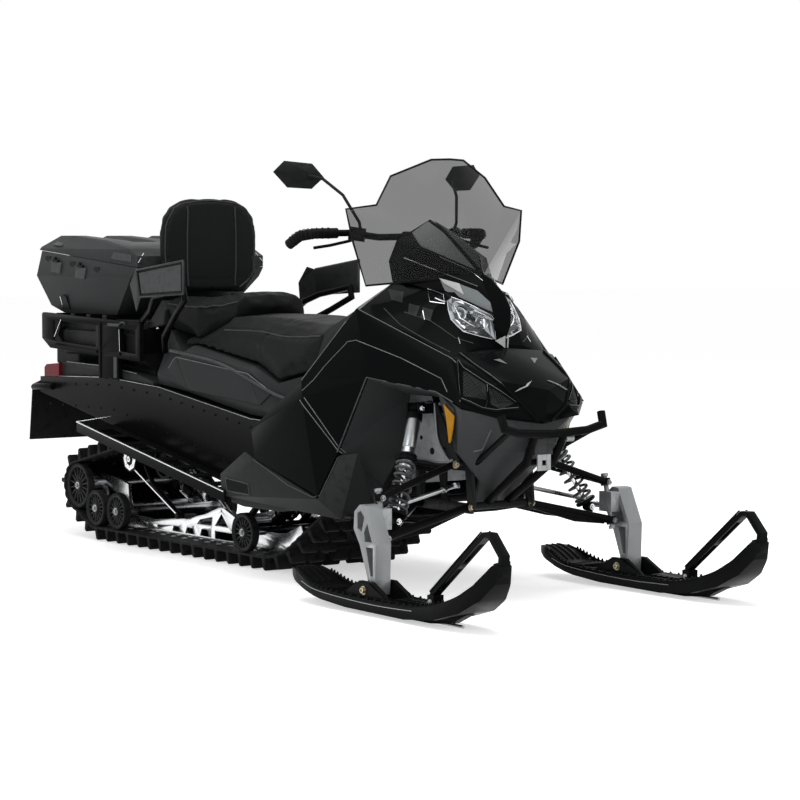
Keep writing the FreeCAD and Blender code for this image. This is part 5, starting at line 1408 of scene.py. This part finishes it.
class SNOW_OT_lamps(bpy.types.Operator):
    """Headlamps: dark housing, reflector facets, bowls and clear covers"""
    bl_idname = "snow.lamps"
    bl_label = "Headlamps"

    # The lamp's outline and middle, and the way it faces
    OUTLINE = ((862, -106, 941), (860, -121, 930), (878, -130, 900), (896, -133, 872), (916, -124, 852),
               (933, -113, 835), (952, -62, 820), (967, -12, 808), (960, -10, 868), (950, -14, 884),
               (912, -48, 909), (885, -78, 928))
    OUT = (0.75, -0.66, 0.05)
    MIDDLE = (915, -72, 878)

    def glass_grid(self, skin, way, edge):
        """Rings of points laid inside the lamp's outline, and the cells between them, split at random into bright and
        dark cells as a painted reflection.
        """
        n = len(edge)
        random = np.random.default_rng(11)
        rings = (1.0, 0.82, 0.62, 0.4, 0.2)
        grid = []
        for share in rings:
            for p in edge:
                at = skin.lay(Vector(self.MIDDLE).lerp(p, share * 0.98), self.OUT, 0)
                grid.append(at + way * (1.5 if share == 1 else float(random.uniform(0.5, 5))))
        faces = band_faces(len(rings), n)
        bright_reflection_cells, dark_reflection_cells = [], []
        for a, b, c, d in faces:
            for cell in ([a, b, c], [a, c, d]):
                # Painted reflection: about a third of the reflector's cells are bright, the rest dark.
                (bright_reflection_cells if random.uniform() < 0.3 else dark_reflection_cells).append(cell)
        return grid, faces, bright_reflection_cells, dark_reflection_cells

    def bulbs(self, skin, way, bowls, dull):
        """Two reflector bowls with their bulbs, and dark floors that are a painted dark reflection."""
        radius = 19
        for at in ((892, -96, 888), (936, -44, 862)):
            base = skin.lay(at, self.OUT, 0.5)
            bowls.ring(base, way, [(radius * 0.78, 1.5), (radius, 6), (radius * 1.1, 6.5), (radius * 1.08, 2)], 28)
            bowls.lathe(base, way, [(radius * 0.4, 0), (radius * 0.38, 4), (radius * 0.28, 6.5), (CORE, 7.5)], 24)
            dull.lathe(base, way, [(radius * 0.8, 1.6), (radius * 0.42, 0.8), (CORE, 0.8)], 24)

    def strips(self, way, edge, middle, glints, rim):
        """Light strips inside the lamp, and its rim in two widths."""
        places = ((1, 0.3), (3, 0.5), (4, 0.6), (5, 0.62), (6, 0.5))
        glints.tube([edge[k].lerp(middle, t) + way * 7 for k, t in places], [0.8, 2.0, 2.6, 2.6, 0.8], 6)
        glints.tube([edge[10].lerp(middle, 0.3) + way * 7, edge[9].lerp(middle, 0.25) + way * 7], [2.4, 1.2], 6)
        rim.tube(list(edge[1:8]), [1.0, 1.8, 2.2, 2.4, 2.4, 2.2, 1.4], 8)
        rim.tube(list(edge[7:]) + [edge[0]], 0.9, 8)

    def cover(self, way, edge, middle):
        """Clear dome over the lamp's outline."""
        n = len(edge)
        inner = [p.lerp(middle, 0.18) + way * 7 for p in edge]
        dome = [p + way * 1.5 for p in edge] + inner + [middle + way * 9]
        peak = [[n + k, n + (k + 1) % n, 2 * n] for k in range(n)]
        return Shape().add(dome, band_faces(2, n) + peak)

    def execute(self, context):
        skin = Skin("hood_finish", "headlamp_bodies", "pod_shell")
        way = Vector(self.OUT).normalized()
        middle = skin.lay(self.MIDDLE, self.OUT, 0) + way * 3
        edge = [skin.lay(p, self.OUT, 2) for p in self.OUTLINE]
        grid, faces, bright_reflection_cells, dark_reflection_cells = self.glass_grid(skin, way, edge)
        shell = Shape().add([p - way * 1.2 for p in grid], faces)
        facets = Shape().add(grid, bright_reflection_cells)
        dull = Shape().add(grid, dark_reflection_cells)
        bowls, glints, rim = Shape(), Shape(), Shape()
        self.bulbs(skin, way, bowls, dull)
        self.strips(way, edge, middle, glints, rim)
        cover = self.cover(way, edge, middle)
        dull.both_sides().piece("lamp_shades", "smoked", "dark_plastic", angle=1)
        for shape in (shell, facets, bowls, cover, glints, rim):
            shape.both_sides()
        shell.piece("lamp_housings", "dark", "dark_plastic")
        facets.piece("lamp_facets", "bowl", "steel", angle=1)
        bowls.piece("lamp_bowls", "bowl", "steel", angle=40)
        glints.piece("lamp_glints", "rail", "steel", angle=40)
        rim.piece("lamp_rims", "chrome", "steel", angle=40)
        cover.piece("lamp_covers", "lens", "lens", bevel=0.001)
        return {"FINISHED"}


SIDE_OUT = (0.3, -0.9, 0.3)
NOSE_OUT = (0.72, -0.62, 0.32)
NOSE_RAIL = ((984, -165, 768), (1045, -159, 738), (1156, -128, 673), (1194, -79, 611), (1192, -25, 565))
INTAKE_TOP = ((1008, -190, 748), (1034, -190, 726), (1116, -163, 682), (1184, -103, 624))
INTAKE_LOW = ((1078, -230, 634), (1130, -190, 606), (1160, -160, 600), (1189, -98, 606))
INTAKE_RAILS = ((NOSE_RAIL, 4.5), (INTAKE_TOP, 4), (INTAKE_LOW, 5),
                (((1118, -163, 680), (1136, -173, 632), (1131, -180, 604)), 3.5),
                (((1010, -194, 745), (1049, -218, 677), (1078, -234, 634)), 4.5))
CELLS = (((1036, -192, 722), (1112, -165, 682), (1134, -176, 634), (1078, -225, 645)),
         ((1122, -160, 676), (1180, -106, 624), (1168, -148, 606), (1144, -170, 622)))
# Paths of painted highlight lines: along the side panels' edges and steps, and the pair on the rear diagonal.
SIDE_HIGHLIGHT_LINES = (
    ((455, -400, 674), (650, -325, 907), (986, -199, 756), (1008, -196, 742), (1049, -220, 677), (1080, -238, 628)),
    ((478, -411, 640), (551, -372, 722), (636, -344, 800), (671, -336, 805), (843, -290, 755), (984, -238, 695),
     (1025, -246, 656)),
)
WINDOW_LINE = ((205, -418, 402), (299, -418, 370), (401, -416, 333), (535, -414, 306), (574, -410, 312),
               (639, -384, 436))
PANEL_RECESS = ((40, -423, 330), (172, -420, 320), (183, -421, 284), (50, -423, 288))
EDGE_HIGHLIGHT_PAIRS = (((479, -424, 612), (645, -381, 452)), ((499, -418, 620), (652, -377, 456)))
ARCH_LINES = (((637, -385, 453), (740, -345, 691), (989, -262, 655), (1060, -250, 626)),)
HOOD_SEAMS = (((767, -219, 894), (861, -187, 868), (893, -169, 846), (933, -145, 816), (965, -100, 800)),
              ((700, -250, 905), (787, -249, 855), (896, -214, 804), (955, -181, 774)))
HOOD_VENTS = (((650, -196, 964), (710, -177, 956), (737, -205, 922), (696, -218, 931)),
              ((760, -197, 921), (800, -182, 912), (812, -204, 884), (780, -214, 892)),
              ((812, -179, 909), (851, -168, 901), (861, -187, 868), (826, -199, 880)))


class SNOW_OT_front(bpy.types.Operator):
    """Panel lines (most of them painted highlights), intakes, accents, reflectors and brackets at the front"""
    bl_idname = "snow.front"
    bl_label = "Front details"

    def lines(self):
        """Lines, seams, vents and a recess laid on the panels: most lines and the seams are painted highlights, and
        the recess holds a black plate of painted shade.
        """
        skin = Skin("side_panels_finish", "hood_finish", "nose_finish", "lower_panels_finish",
                    "arch_liners_finish")
        # Painted highlight: a light grey line along the chin's crease.
        crease = Shape()
        low = Skin("chin_finish").line([(1120, -148, 542), (1072, -145, 478), (1050, -162, 471)], NOSE_OUT, 0.6)
        crease.tube(low, 2.2, 6)
        crease.both_sides().piece("chin_creases", "edge", "dark_plastic", angle=60)
        rims, faint, bright, arch = (Shape() for k in range(4))
        # Painted highlights: light grey lines along the side panels' edges and steps, and the pairs on the rear
        # diagonal.
        for line in SIDE_HIGHLIGHT_LINES:
            rims.tube(skin.line(line, SIDE_OUT, 0.3), 1.3, 6)
        for line in EDGE_HIGHLIGHT_PAIRS:
            rims.tube(skin.line(line, SIDE_OUT, 0.4), 1.3, 6)
        for line in ARCH_LINES:
            arch.tube(skin.line(line, SIDE_OUT, 0.8), 2.4, 6)
        # Painted highlights: lighter grey lines along the hood seams and the window line.
        for line in HOOD_SEAMS:
            faint.tube(skin.line(line, SIDE_OUT, 0.2), 1.1, 6)
        faint.tube(skin.line(WINDOW_LINE, (0, -1, 0), 0.2), 1.6, 6)
        recess, shade_plate = Shape(), Shape()
        # Painted shade: a black plate darkens the recess.
        skin.patch(shade_plate, PANEL_RECESS, (0, -1, 0), 0.8, (4, 3))
        recess.tube(skin.line(PANEL_RECESS + PANEL_RECESS[:1], (0, -1, 0), 0.5), 2.2, 6)
        recess.both_sides().piece("recess_rims", "pale_matte", "dark_plastic", angle=60)
        shade_plate.both_sides().piece("recess_plates", "metal", "dark_plastic", angle=30)
        bright.tube(skin.line([(820, -186, 898), (846, -198, 871)], SIDE_OUT, 0.8), 1.5, 6)
        bright.tube(skin.line([(937, -135, 816), (951, -139, 798)], SIDE_OUT, 0.8), 1.7, 6)
        vents = Shape()
        for quad in HOOD_VENTS:
            skin.patch(vents, quad, SIDE_OUT, 1.6, (3, 3))
        for shape in (rims, faint, bright, vents, arch):
            shape.both_sides()
        arch.piece("arch_edges", "pale_matte", "dark_plastic", angle=60)
        rims.piece("panel_lines", "edge", "alloy", angle=60)
        faint.piece("seam_lines", "chin", "dark_plastic", angle=60)
        bright.piece("hood_slashes", "rail", "alloy", angle=60)
        vents.piece("hood_vents", "matte", "dark_plastic", bevel=0.0008, segments=1, angle=20)

    def intakes(self):
        """Raised rails round two cells on each side of the nose, each with a painted highlight along its top, and in
        each cell a mesh over a black plate of painted shade.
        """
        skin = Skin("nose_finish")
        rails, edges, plates, wires = Shape(), Shape(), Shape(), Shape()
        for line, radius in INTAKE_RAILS:
            rails.tube(skin.line(line, NOSE_OUT, 1.5), radius, 8)
            # Painted highlight: a thin grey line along the top of each rail.
            edges.tube([p + Vector((-0.2, 0.2, radius - 0.6)) for p in skin.line(line, NOSE_OUT, 3.2)], 0.9, 6)
        for quad in CELLS:
            # Painted shade: a black plate fills each cell behind the mesh.
            skin.patch(plates, quad, NOSE_OUT, 0.7, (5, 4))
            a, b, c, d = (Vector(q) for q in quad)
            for t in (k / 8 for k in range(1, 8)):
                for start, end in ((a.lerp(b, t), a.lerp(d, t)), (b.lerp(c, t), d.lerp(c, t)),
                                   (b.lerp(a, t), b.lerp(c, t)), (a.lerp(d, t), c.lerp(d, t))):
                    wires.tube(skin.line([start, end], NOSE_OUT, 0.9), 0.8, 5)
        for shape in (rails, edges, plates, wires):
            shape.both_sides()
        rails.piece("intake_frames", "gloss", "gloss_black", angle=60)
        edges.piece("intake_edges", "edge", "alloy", angle=60)
        plates.piece("intake_plates", "dark", "dark_plastic", angle=30)
        wires.piece("intake_mesh", "matte", "dark_plastic", angle=60)

    def accents(self):
        """Pale darts on the nose and amber reflectors."""
        accents, darts, amber = Shape(), Shape(), Shape()
        accents.prism([(1174, -101, 657), (1168, -29, 689), (1187, -60, 674)], (4, -4, 1.5))
        accents.both_sides().piece("nose_accents", "pale_facet", "alloy", bevel=0.0006, segments=1)
        darts.prism([(1049, -60, 752), (1078, -52, 736), (1050, -86, 750)], (2, -2, 2))
        darts.both_sides().piece("nose_darts", "edge", "alloy", bevel=0.0006, segments=1)
        amber.prism([(1010, -246, 619), (1049, -233, 583), (1034, -228, 540), (1020, -226, 500), (1010, -225, 498),
                     (1010, -236, 575)], (2, -5, 0))
        amber.both_sides().piece("side_reflectors", "amber", "red_lens", bevel=0.0015)

    def tow_bracket(self):
        """Bracket and framed plate under the nose, and the side plates' rims."""
        plate, silver = Shape(), Shape()
        plate.block((1150, -36, 462), (1192, 36, 508)).slab((1186, 0, 485), (0, 1, 0), (1, 0, 0), 52, 14, 34)
        plate.block((1178, -46, 498), (1196, 46, 512))
        silver.tube(smooth_path([(868, -177, 612), (876, -178, 560), (886, -178, 502), (920, -178, 458),
                                 (952, -178, 432)], 6), 4, 8)
        silver.tube(smooth_path([(952, -178, 432), (880, -178, 428), (800, -178, 434), (716, -178, 430)], 6), 3, 8)
        silver.both_sides()
        for low, high in (((1188, -26, 414), (1194, -8, 464)), ((1188, 8, 414), (1194, 26, 464)),
                          ((1188, -8, 446), (1194, 8, 464)), ((1188, -8, 414), (1194, 8, 430))):
            silver.block(low, high)
        silver.turned((1224, 58, 512), (-0.1, 1, 0), [(9, 0), (10, 2), (10, 30), (9, 32)], 18)
        plate.piece("tow_bracket", "pale_matte", "dark_plastic", bevel=0.002)
        silver.piece("tow_plate", "silver", "cast_alloy", bevel=0.0008, segments=1)

    def towers(self):
        """Cast side plates above the arms, with two bores drawn as black discs of painted shade."""
        tower, bores = Shape(), Shape()
        tower.prism([(822, -174.3, 612), (866, -174.3, 612), (884, -174.3, 500), (952, -174.3, 430),
                     (716, -174.3, 430), (722, -174.3, 452), (742, -174.3, 470)], (0, -2.4, 0))
        # Painted shade: black discs stand for the bores.
        bores.turned((857, -176, 461), (0, -1, 0), [(11, 0), (11, 1.6)], 24)
        bores.turned((800, -176, 500), (0, -1, 0), [(7, 0), (7, 1.6)], 20)
        tower.both_sides().piece("tower_plates", "silver", "cast_alloy", bevel=0.0008, segments=1)
        bores.both_sides().piece("tower_bores", "dark", "dark_plastic", angle=30)

    def arm_webs(self):
        """Plates that stiffen the arms."""
        webs = Shape()
        webs.prism([(984, -444, 216), (977, -340, 240), (900, -340, 240), (845, -300, 249), (860, -360, 237)],
                   (0, 0, -7))
        webs.prism([(957, -444, 338), (959, -352, 366), (905, -352, 364), (870, -392, 354)], (0, 0, 6))
        for low, high, drop in (((967, -128, 283), (981, -425, 217), 24),
                                ((714, -140, 283), (925, -400, 224), 18)):
            low, high = Vector(low), Vector(high)
            down = Vector((0, 0, -drop))
            webs.prism([low, high, high + down * 0.5, low.lerp(high, 0.6) + down, low + down * 0.4], (-7, 0, 0))
        webs.both_sides().piece("arm_webs", "metal", "black_metal", bevel=0.0015)

    def bolts(self):
        """Bolts of the arms and side plates."""
        bolts, gold = Shape(), Shape()
        for x, y, z in ((712, -121, 290), (965, -121, 292), (712, -175, 432), (955, -175, 432), (850, -175, 590)):
            bolts.bolt((x, y, z), (0, -1, 0), 8, 6)
        for x, y, z in ((1003, -450, 217), (974, -450, 338), (912, -450, 262)):
            bolts.bolt((x, y, z), (1, 0, 0), 7, 6)
        for x, y, z in ((983, -120, 291), (980, -178, 427)):
            gold.bolt((x, y, z), (1, 0, 0), 9, 8)
        bolts.both_sides().piece("front_bolts", "damper", "steel", angle=25)
        gold.both_sides().piece("arm_bolts", "gold", "steel", angle=25)

    def screen_edge(self):
        """Rubber bead round the windshield."""
        edge = Shape()
        half = [(888, 0, 1009), (637, -275, 975), (650, -334, 1115), (638, -352, 1216), (668, -256, 1229),
                (652, -189, 1321), (700, -64, 1374), (715, 0, 1376)]
        ring = [Vector(c) for c in half] + [vec(x, -y, z) for x, y, z in half[-2:0:-1]]
        edge.tube(ring, 3.4, 8, closed=True)
        edge.piece("screen_edge", "dark", "screen", angle=60)

    def execute(self, context):
        for step in (self.lines, self.intakes, self.accents, self.towers, self.tow_bracket, self.arm_webs,
                     self.bolts, self.screen_edge):
            step()
        return {"FINISHED"}


def wall_y(z):
    """The box's near wall at a height: it leans out by 14 mm over its 135 mm."""
    return -275 + 14 * (z - 985) / 135


class SNOW_OT_luggage(bpy.types.Operator):
    """Latches, slots and pads of the cargo box, clamps and straps of the rack"""
    bl_idname = "snow.luggage"
    bl_label = "Box and rack details"

    def box(self):
        """Slots and latches of the box, pads of the lid and rack hinges; the slots are black blocks of painted shade.
        """
        dark, pale = Shape(), Shape()
        for x, z in ((-1463, 1052), (-1271, 1032), (-1083, 1013)):
            y = wall_y(z)
            # Painted shade: black blocks stand for the slots.
            dark.block((x - 22, y - 1.2, z - 8), (x + 22, y + 4, z + 8))
            dark.block((x - 8, y - 1.4, z - 15), (x + 8, y + 4, z - 6))
        for x, z in ((-1392, 1021), (-1200, 1002)):
            low, high = wall_y(z - 22) - 1, wall_y(z + 20) - 1
            pale.prism([(x - 36, low, z - 20), (x + 36, low, z - 27), (x + 42, high, z + 14),
                        (x - 34, high, z + 20)], (0, -5, 0))
            dark.turned((x - 12, wall_y(z + 28) + 2, z + 27), (0, -1, 0), [(9, 0), (9, 8), (6, 10)], 18)
            dark.block((x - 20, wall_y(z) - 9, z + 18), (x + 22, wall_y(z) + 2, z + 24))
        pale.prism([(-984, -268, 1052), (-835, -268, 1040), (-835, -268, 1066), (-960, -268, 1076)], (0, -3.5, 0))
        dark.prism([(-1392, -243, 862), (-1340, -243, 858), (-1340, -262, 908), (-1380, -263, 912)], (0, 6, -2))
        for x0 in (-1440, -1250, -1060):
            drop = (x0 + 1440) * 0.07
            pale.prism([(x0, -262, 1100 - drop), (x0 + 70, -262, 1095 - drop), (x0 + 62, -240, 1108 - drop),
                        (x0 + 8, -240, 1112 - drop)], (0, -2, 4))
        pale.block((-985, -286, 806), (-905, -281, 816))
        pale.tube(smooth_path([(-905, -284, 812), (-880, -285, 822), (-858, -285, 818)], 4), 4, 8)
        pale.block((-943, -285.5, 618), (-921, -281, 694))
        dark.both_sides().piece("box_slots", "dark", "box_plastic", bevel=0.001)
        pale.both_sides().piece("box_latches", "pale_box", "box_plastic", bevel=0.0016)

    def clamps(self):
        """Bright bars and bolts of the rack."""
        bright = Shape()
        bright.tube([(-1398, -240, 858), (-1384, -262, 908)], 1.6, 6)
        bright.tube([(-799, -240, 1072), (-790, -268, 1038)], 1.8, 6)
        bright.tube([(-905, -283, 795), (-900, -283, 716)], 1.4, 6)
        bright.tube([(-1340, -283, 822), (-1392, -283, 756)], 1.5, 6)
        bright.both_sides()
        for x, z in ((-1476, 838), (-772, 800)):
            for y in (-200, 0, 200):
                bright.bolt((x, y, z), (0, 0, 1), 6, 4)
        bright.piece("rack_clamps", "rail", "alloy", angle=35)

    def straps(self):
        """Dark straps and brackets on the rack's sides."""
        black = Shape()
        black.prism([(-1404, -278, 740), (-1404, -278, 819), (-1366, -278, 817), (-1352, -278, 792),
                     (-1372, -278, 764), (-1340, -278, 737)], (0, 8, 0))
        black.block((-1053, -285, 612), (-1040, -281, 820))
        black.block((-990, -284.5, 700), (-900, -281, 712))
        black.slab((-1230, -284, 716), (1, 0, -0.04), (0, 1, 0), 330, 6, 10)
        black.both_sides()
        black.piece("rack_straps", "metal", "black_metal", bevel=0.001)

    def shroud(self):
        """Bodies behind the seat and under the box."""
        matte = Shape()
        matte.prism([(-800, -232, 800), (-690, -225, 815), (-690, -215, 872), (-735, -205, 905),
                     (-800, -205, 838)], (0, 430, 0))
        matte.block((-1452, -236, 768), (-790, 236, 829))
        matte.block((-1462, -236, 652), (-1290, 236, 770))
        matte.prism([(-1440, -250, 742), (-1385, -250, 700), (-1385, -250, 788), (-1430, -250, 790)], (0, 500, 0))
        matte.piece("rear_shroud", "matte", "dark_plastic", bevel=0.006, segments=3)

    def execute(self, context):
        for step in (self.box, self.clamps, self.straps, self.shroud):
            step()
        return {"FINISHED"}


def board_height(x):
    """Height of the running board, which slopes down to the front."""
    return 437 - 0.178 * (x + 940)


TUNNEL_TOP = ((-1500, 596), (-1000, 611), (-640, 591), (-40, 511), (200, 504))
RIVET = ((5, 0), (4.2, 2), (2, 3))


class SNOW_OT_tunnel(bpy.types.Operator):
    """Board edges and teeth, rivets, trim lines and flap ribs"""
    bl_idname = "snow.tunnel"
    bl_label = "Tunnel and boards"

    def edges(self):
        """Bright beads along the running boards."""
        bright = Shape()
        bright.tube([(-958, -431, board_height(-958) + 22), (38, -431, board_height(38) + 22)], 2.2, 8)
        bright.tube([(-958, -428, board_height(-958) + 22), (-940, -300, board_height(-940) + 40)], 1.6, 6)
        bright.both_sides().piece("board_edges", "rail", "black_metal", angle=40)

    def teeth(self):
        """Board teeth, foot grips and rows of studs."""
        teeth = Shape()
        for k in range(62):
            x = -945 + 16 * k
            z = board_height(x)
            teeth.lathe((x, -424, z + 21), (0, 0, 1), [(3.6, 0), (0.6, 8)], 6)
            if k % 2 == 0:
                for y in (-300, -404):
                    teeth.lathe((x, y, z), (0, 0, 1), [(5, 0), (3.4, 5), (2.6, 5)], 8)
        for k in range(8):
            x = -890 + 112 * k
            for y in (-322, -354, -386):
                teeth.lathe((x - 18, y, board_height(x - 18)), (0, 0, 1), [(5, 0), (3.2, 6), (2.4, 6)], 8)
        teeth.both_sides().piece("board_teeth", "metal", "black_metal", angle=50)

    def rivets(self):
        """Rivets along the tunnel's top edge and side."""
        rivets = Shape()
        for (x0, z0), (x1, z1) in zip(TUNNEL_TOP, TUNNEL_TOP[1:]):
            count = max(1, int((x1 - x0) / 75))
            for k in range(count):
                t = k / count
                rivets.lathe((x0 + (x1 - x0) * t, -273, z0 + (z1 - z0) * t - 22), (0, -1, 0), RIVET, 10)
        for k in range(14):
            x = -1440 + 95 * k
            rivets.lathe((x, -273, board_height(x) + 62 if x > -960 else 500), (0, -1, 0), RIVET, 10)
        rivets.both_sides().piece("tunnel_rivets", "metal", "black_metal", angle=50)

    def flap(self):
        """Ribs and lower bar of the snow flap."""
        flap = Shape()
        for y in (-170, -85):
            flap.prism([(-1642, y - 5, 360), (-1616, y - 5, 540), (-1622, y - 5, 541), (-1648, y - 5, 360)],
                       (0, 10, 0))
        flap.slab((-1643, -129, 356), (0, 1, 0), (1, 0, 0), 256, 10, 14)
        flap.both_sides().piece("flap_ribs", "rubber", "dark_plastic", bevel=0.002)

    def trim(self):
        """Steel lines on the tunnel's and the cover's sides."""
        grey = Shape()
        grey.tube([(-1380, -274, 606), (-1000, -275, 617), (-640, -275, 597), (-40, -275, 517), (200, -275, 510)],
                  1.8, 6)
        grey.tube([(-1330, -263, 662), (-1064, -263, 657), (-812, -263, 638)], 2, 6)
        grey.both_sides().piece("tunnel_trim", "steel", "alloy", angle=60)

    def floors(self):
        """Floors of the foot wells."""
        floor = Shape()
        floor.prism([(48, -408, 272), (48, -408, 250), (120, -406, 240), (330, -402, 240), (420, -400, 268)],
                    (0, 128, 0))
        floor.both_sides().piece("footwell_floors", "matte", "dark_plastic", bevel=0.003)

    def execute(self, context):
        for step in (self.floors, self.edges, self.teeth, self.rivets, self.flap, self.trim):
            step()
        return {"FINISHED"}


SEAT_OUT = (0.1, -1, 0.25)
SEAT_SIDE = (((-612, -242, 664), (-560, -240, 704), (-470, -248, 592), (-500, -247, 594)),
             ((-558, -240, 704), (-90, -242, 664), (-14, -250, 564), (-468, -248, 592)),
             ((-88, -242, 664), (46, -242, 610), (40, -243, 598), (-12, -250, 564)))
# Path of the painted highlight along the top edge of the seat side plates.
SEAT_SIDE_EDGE = ((-612, -242, 664), (-560, -240, 704), (-90, -242, 664), (46, -242, 610))


class SNOW_OT_rider(bpy.types.Operator):
    """Bar riser, deflector panels, seat sides and front parts of the skid"""
    bl_idname = "snow.rider"
    bl_label = "Rider's area"

    def bars(self):
        """Riser, bar clamps and ribs of the grips."""
        chrome, grip = Shape(), Shape()
        chrome.tube([(566, -25, 1070), (560, -48, 1128)], 5, 8)
        chrome.tube([(566, 25, 1070), (560, 48, 1128)], 5, 8)
        chrome.tube([(562, -50, 1124), (568, -20, 1108), (568, 20, 1108), (562, 50, 1124)], 5, 8)
        chrome.block((544, -30, 1062), (574, 30, 1078))
        for y in (-44, 44):
            chrome.ring((553, y, 1130), (0, 1, 0), [(11.6, -9), (17, -9), (17, 9), (11.6, 9)], 20)
            chrome.bolt((566, y, 1142), (0, 0, 1), 4, 4)
        chrome.piece("bar_riser", "chrome", "steel", "steering", angle=35)
        path = smooth_path([(451, -256, 1141.4), (438, -335, 1140), (395, -362, 1132), (352, -375, 1105)], 8)
        for k in range(3, 22, 2):
            here, ahead = path[k], path[k + 1]
            grip.ring(here, ahead - here, [(17, -1.6), (18.6, -1), (18.6, 1), (17, 1.6)], 18)
        grip.both_sides().piece("grip_ribs", "grip", "grip_rubber", "steering", angle=50)

    def deflectors(self):
        """Inner panels and rims of the hand deflectors."""
        pale, rim = Shape(), Shape()
        pale.prism([(-328, -367.5, 1036), (-328, -367.5, 946), (-578, -377, 932), (-596, -377, 1004)], (0, -3, 0))
        pale.both_sides().piece("deflector_panels", "pale_box", "dark_plastic", bevel=0.0015)
        rim.tube([(-315, -369, 1048), (-315, -369, 935), (-588, -379, 921), (-608, -379, 1013)], 4.5, 8,
                 closed=True)
        rim.both_sides().piece("deflector_rims", "box", "dark_plastic", angle=60)

    def seat_sides(self):
        """Plates on the seat's sides, with painted highlights along their top edge and along a long band above them.
        """
        band, side, edge = Shape(), Shape(), Shape()
        skin = Skin("seat_base_finish")
        for quad in SEAT_SIDE:
            skin.patch(side, quad, SEAT_OUT, 5, (8, 4))
        side.both_sides().piece("seat_side_plates", "box", "dark_plastic", bevel=0.0015, angle=25)
        # Painted highlight along the plates' top edge.
        edge.tube(skin.line(SEAT_SIDE_EDGE, SEAT_OUT, 5.5), 1.6, 6)
        edge.both_sides().piece("seat_side_edges", "edge", "dark_plastic", angle=60)
        # Painted highlight: a light grey band above the plates.
        band.tube(smooth_path([(-600, -250, 728), (-430, -253, 714), (-300, -254, 700), (-180, -254, 676),
                               (-60, -252, 642), (60, -247, 606), (170, -240, 584)], 6), 6, 8)
        band.both_sides().piece("seat_bands", "pale_box", "dark_plastic", angle=60)

    def skid_parts(self):
        """Plate, slats and coil in the front of the skid."""
        guard = Shape()
        guard.prism([(-60, -5, 330), (80, -5, 345), (250, -5, 330), (318, -5, 282), (240, -5, 226), (120, -5, 170),
                     (0, -5, 170), (-80, -5, 226)], (0, 10, 0))
        for y in (-96, -60, 60, 96):
            guard.slab((110, y, 318), (-0.45, 0, -1), (0, 1, 0), 215, 26, 3)
        guard.tube([(-300, 0, 128), (30, 0, 318)], 20, 20)
        guard.tube(helix((-270, 0, 145), (-40, 0, 278), 33, 8), 4.5, 8)
        guard.piece("skid_front_parts", "metal", "black_metal", bevel=0.001, segments=1)

    def stars(self):
        """Bright eight-sided collars of the rear pivots, with their bolts and rods."""
        star = Shape()
        for k in range(8):
            a = 2 * math.pi * k / 8
            star.bolt((-860 + 30 * math.cos(a), -266, 325 + 30 * math.sin(a)), (0, -1, 0), 4, 3)
        star.ring((-860, -266, 325), (0, -1, 0), [(22, 0), (44, 0), (42, 3), (24, 3)], 8)
        star.bolt((-860, -266, 325), (0, -1, 0), 12, 7)
        star.tube([(-846, -268, 300), (-650, -200, 140)], 3.2, 8)
        star.both_sides().piece("pivot_stars", "rail", "alloy", bevel=0.0008, segments=1)

    def execute(self, context):
        for step in (self.bars, self.deflectors, self.seat_sides, self.skid_parts, self.stars):
            step()
        return {"FINISHED"}


class SNOW_PT_machine(bpy.types.Panel):
    """Lists the steps that dress the machine"""
    bl_idname = "SNOW_PT_machine"
    bl_label = "Snowmobile"
    bl_space_type = "VIEW_3D"
    bl_region_type = "UI"
    bl_category = "Snowmobile"

    def draw(self, context):
        column = self.layout.column()
        for step in STEPS:
            column.operator(step.bl_idname)
        for group in (context.scene.machine_sizes, context.scene.machine_colors):
            for key in group.bl_rna.properties.keys():
                if key not in ("rna_type", "name"):
                    column.prop(group, key)


STEPS = (SNOW_OT_stage, SNOW_OT_panels, SNOW_OT_frame, SNOW_OT_cargo, SNOW_OT_glass, SNOW_OT_cushions,
         SNOW_OT_track, SNOW_OT_wheels, SNOW_OT_shocks, SNOW_OT_skis, SNOW_OT_cowl, SNOW_OT_lamps, SNOW_OT_front,
         SNOW_OT_luggage, SNOW_OT_tunnel, SNOW_OT_rider)
CLASSES = (MachineSizes, MachineColors) + STEPS + (SNOW_PT_machine,)


def register():
    for cls in CLASSES:
        bpy.utils.register_class(cls)
    bpy.types.Scene.machine_sizes = bpy.props.PointerProperty(type=MachineSizes)
    bpy.types.Scene.machine_colors = bpy.props.PointerProperty(type=MachineColors)


def unregister():
    del bpy.types.Scene.machine_colors
    del bpy.types.Scene.machine_sizes
    for cls in reversed(CLASSES):
        bpy.utils.unregister_class(cls)


def main():
    register()
    for step in STEPS:
        group, name = step.bl_idname.split(".")
        result = getattr(getattr(bpy.ops, group), name)()
        if result != {"FINISHED"}:
            raise RuntimeError(step.bl_label + " did not finish")


if __name__ == "__main__":
    main()
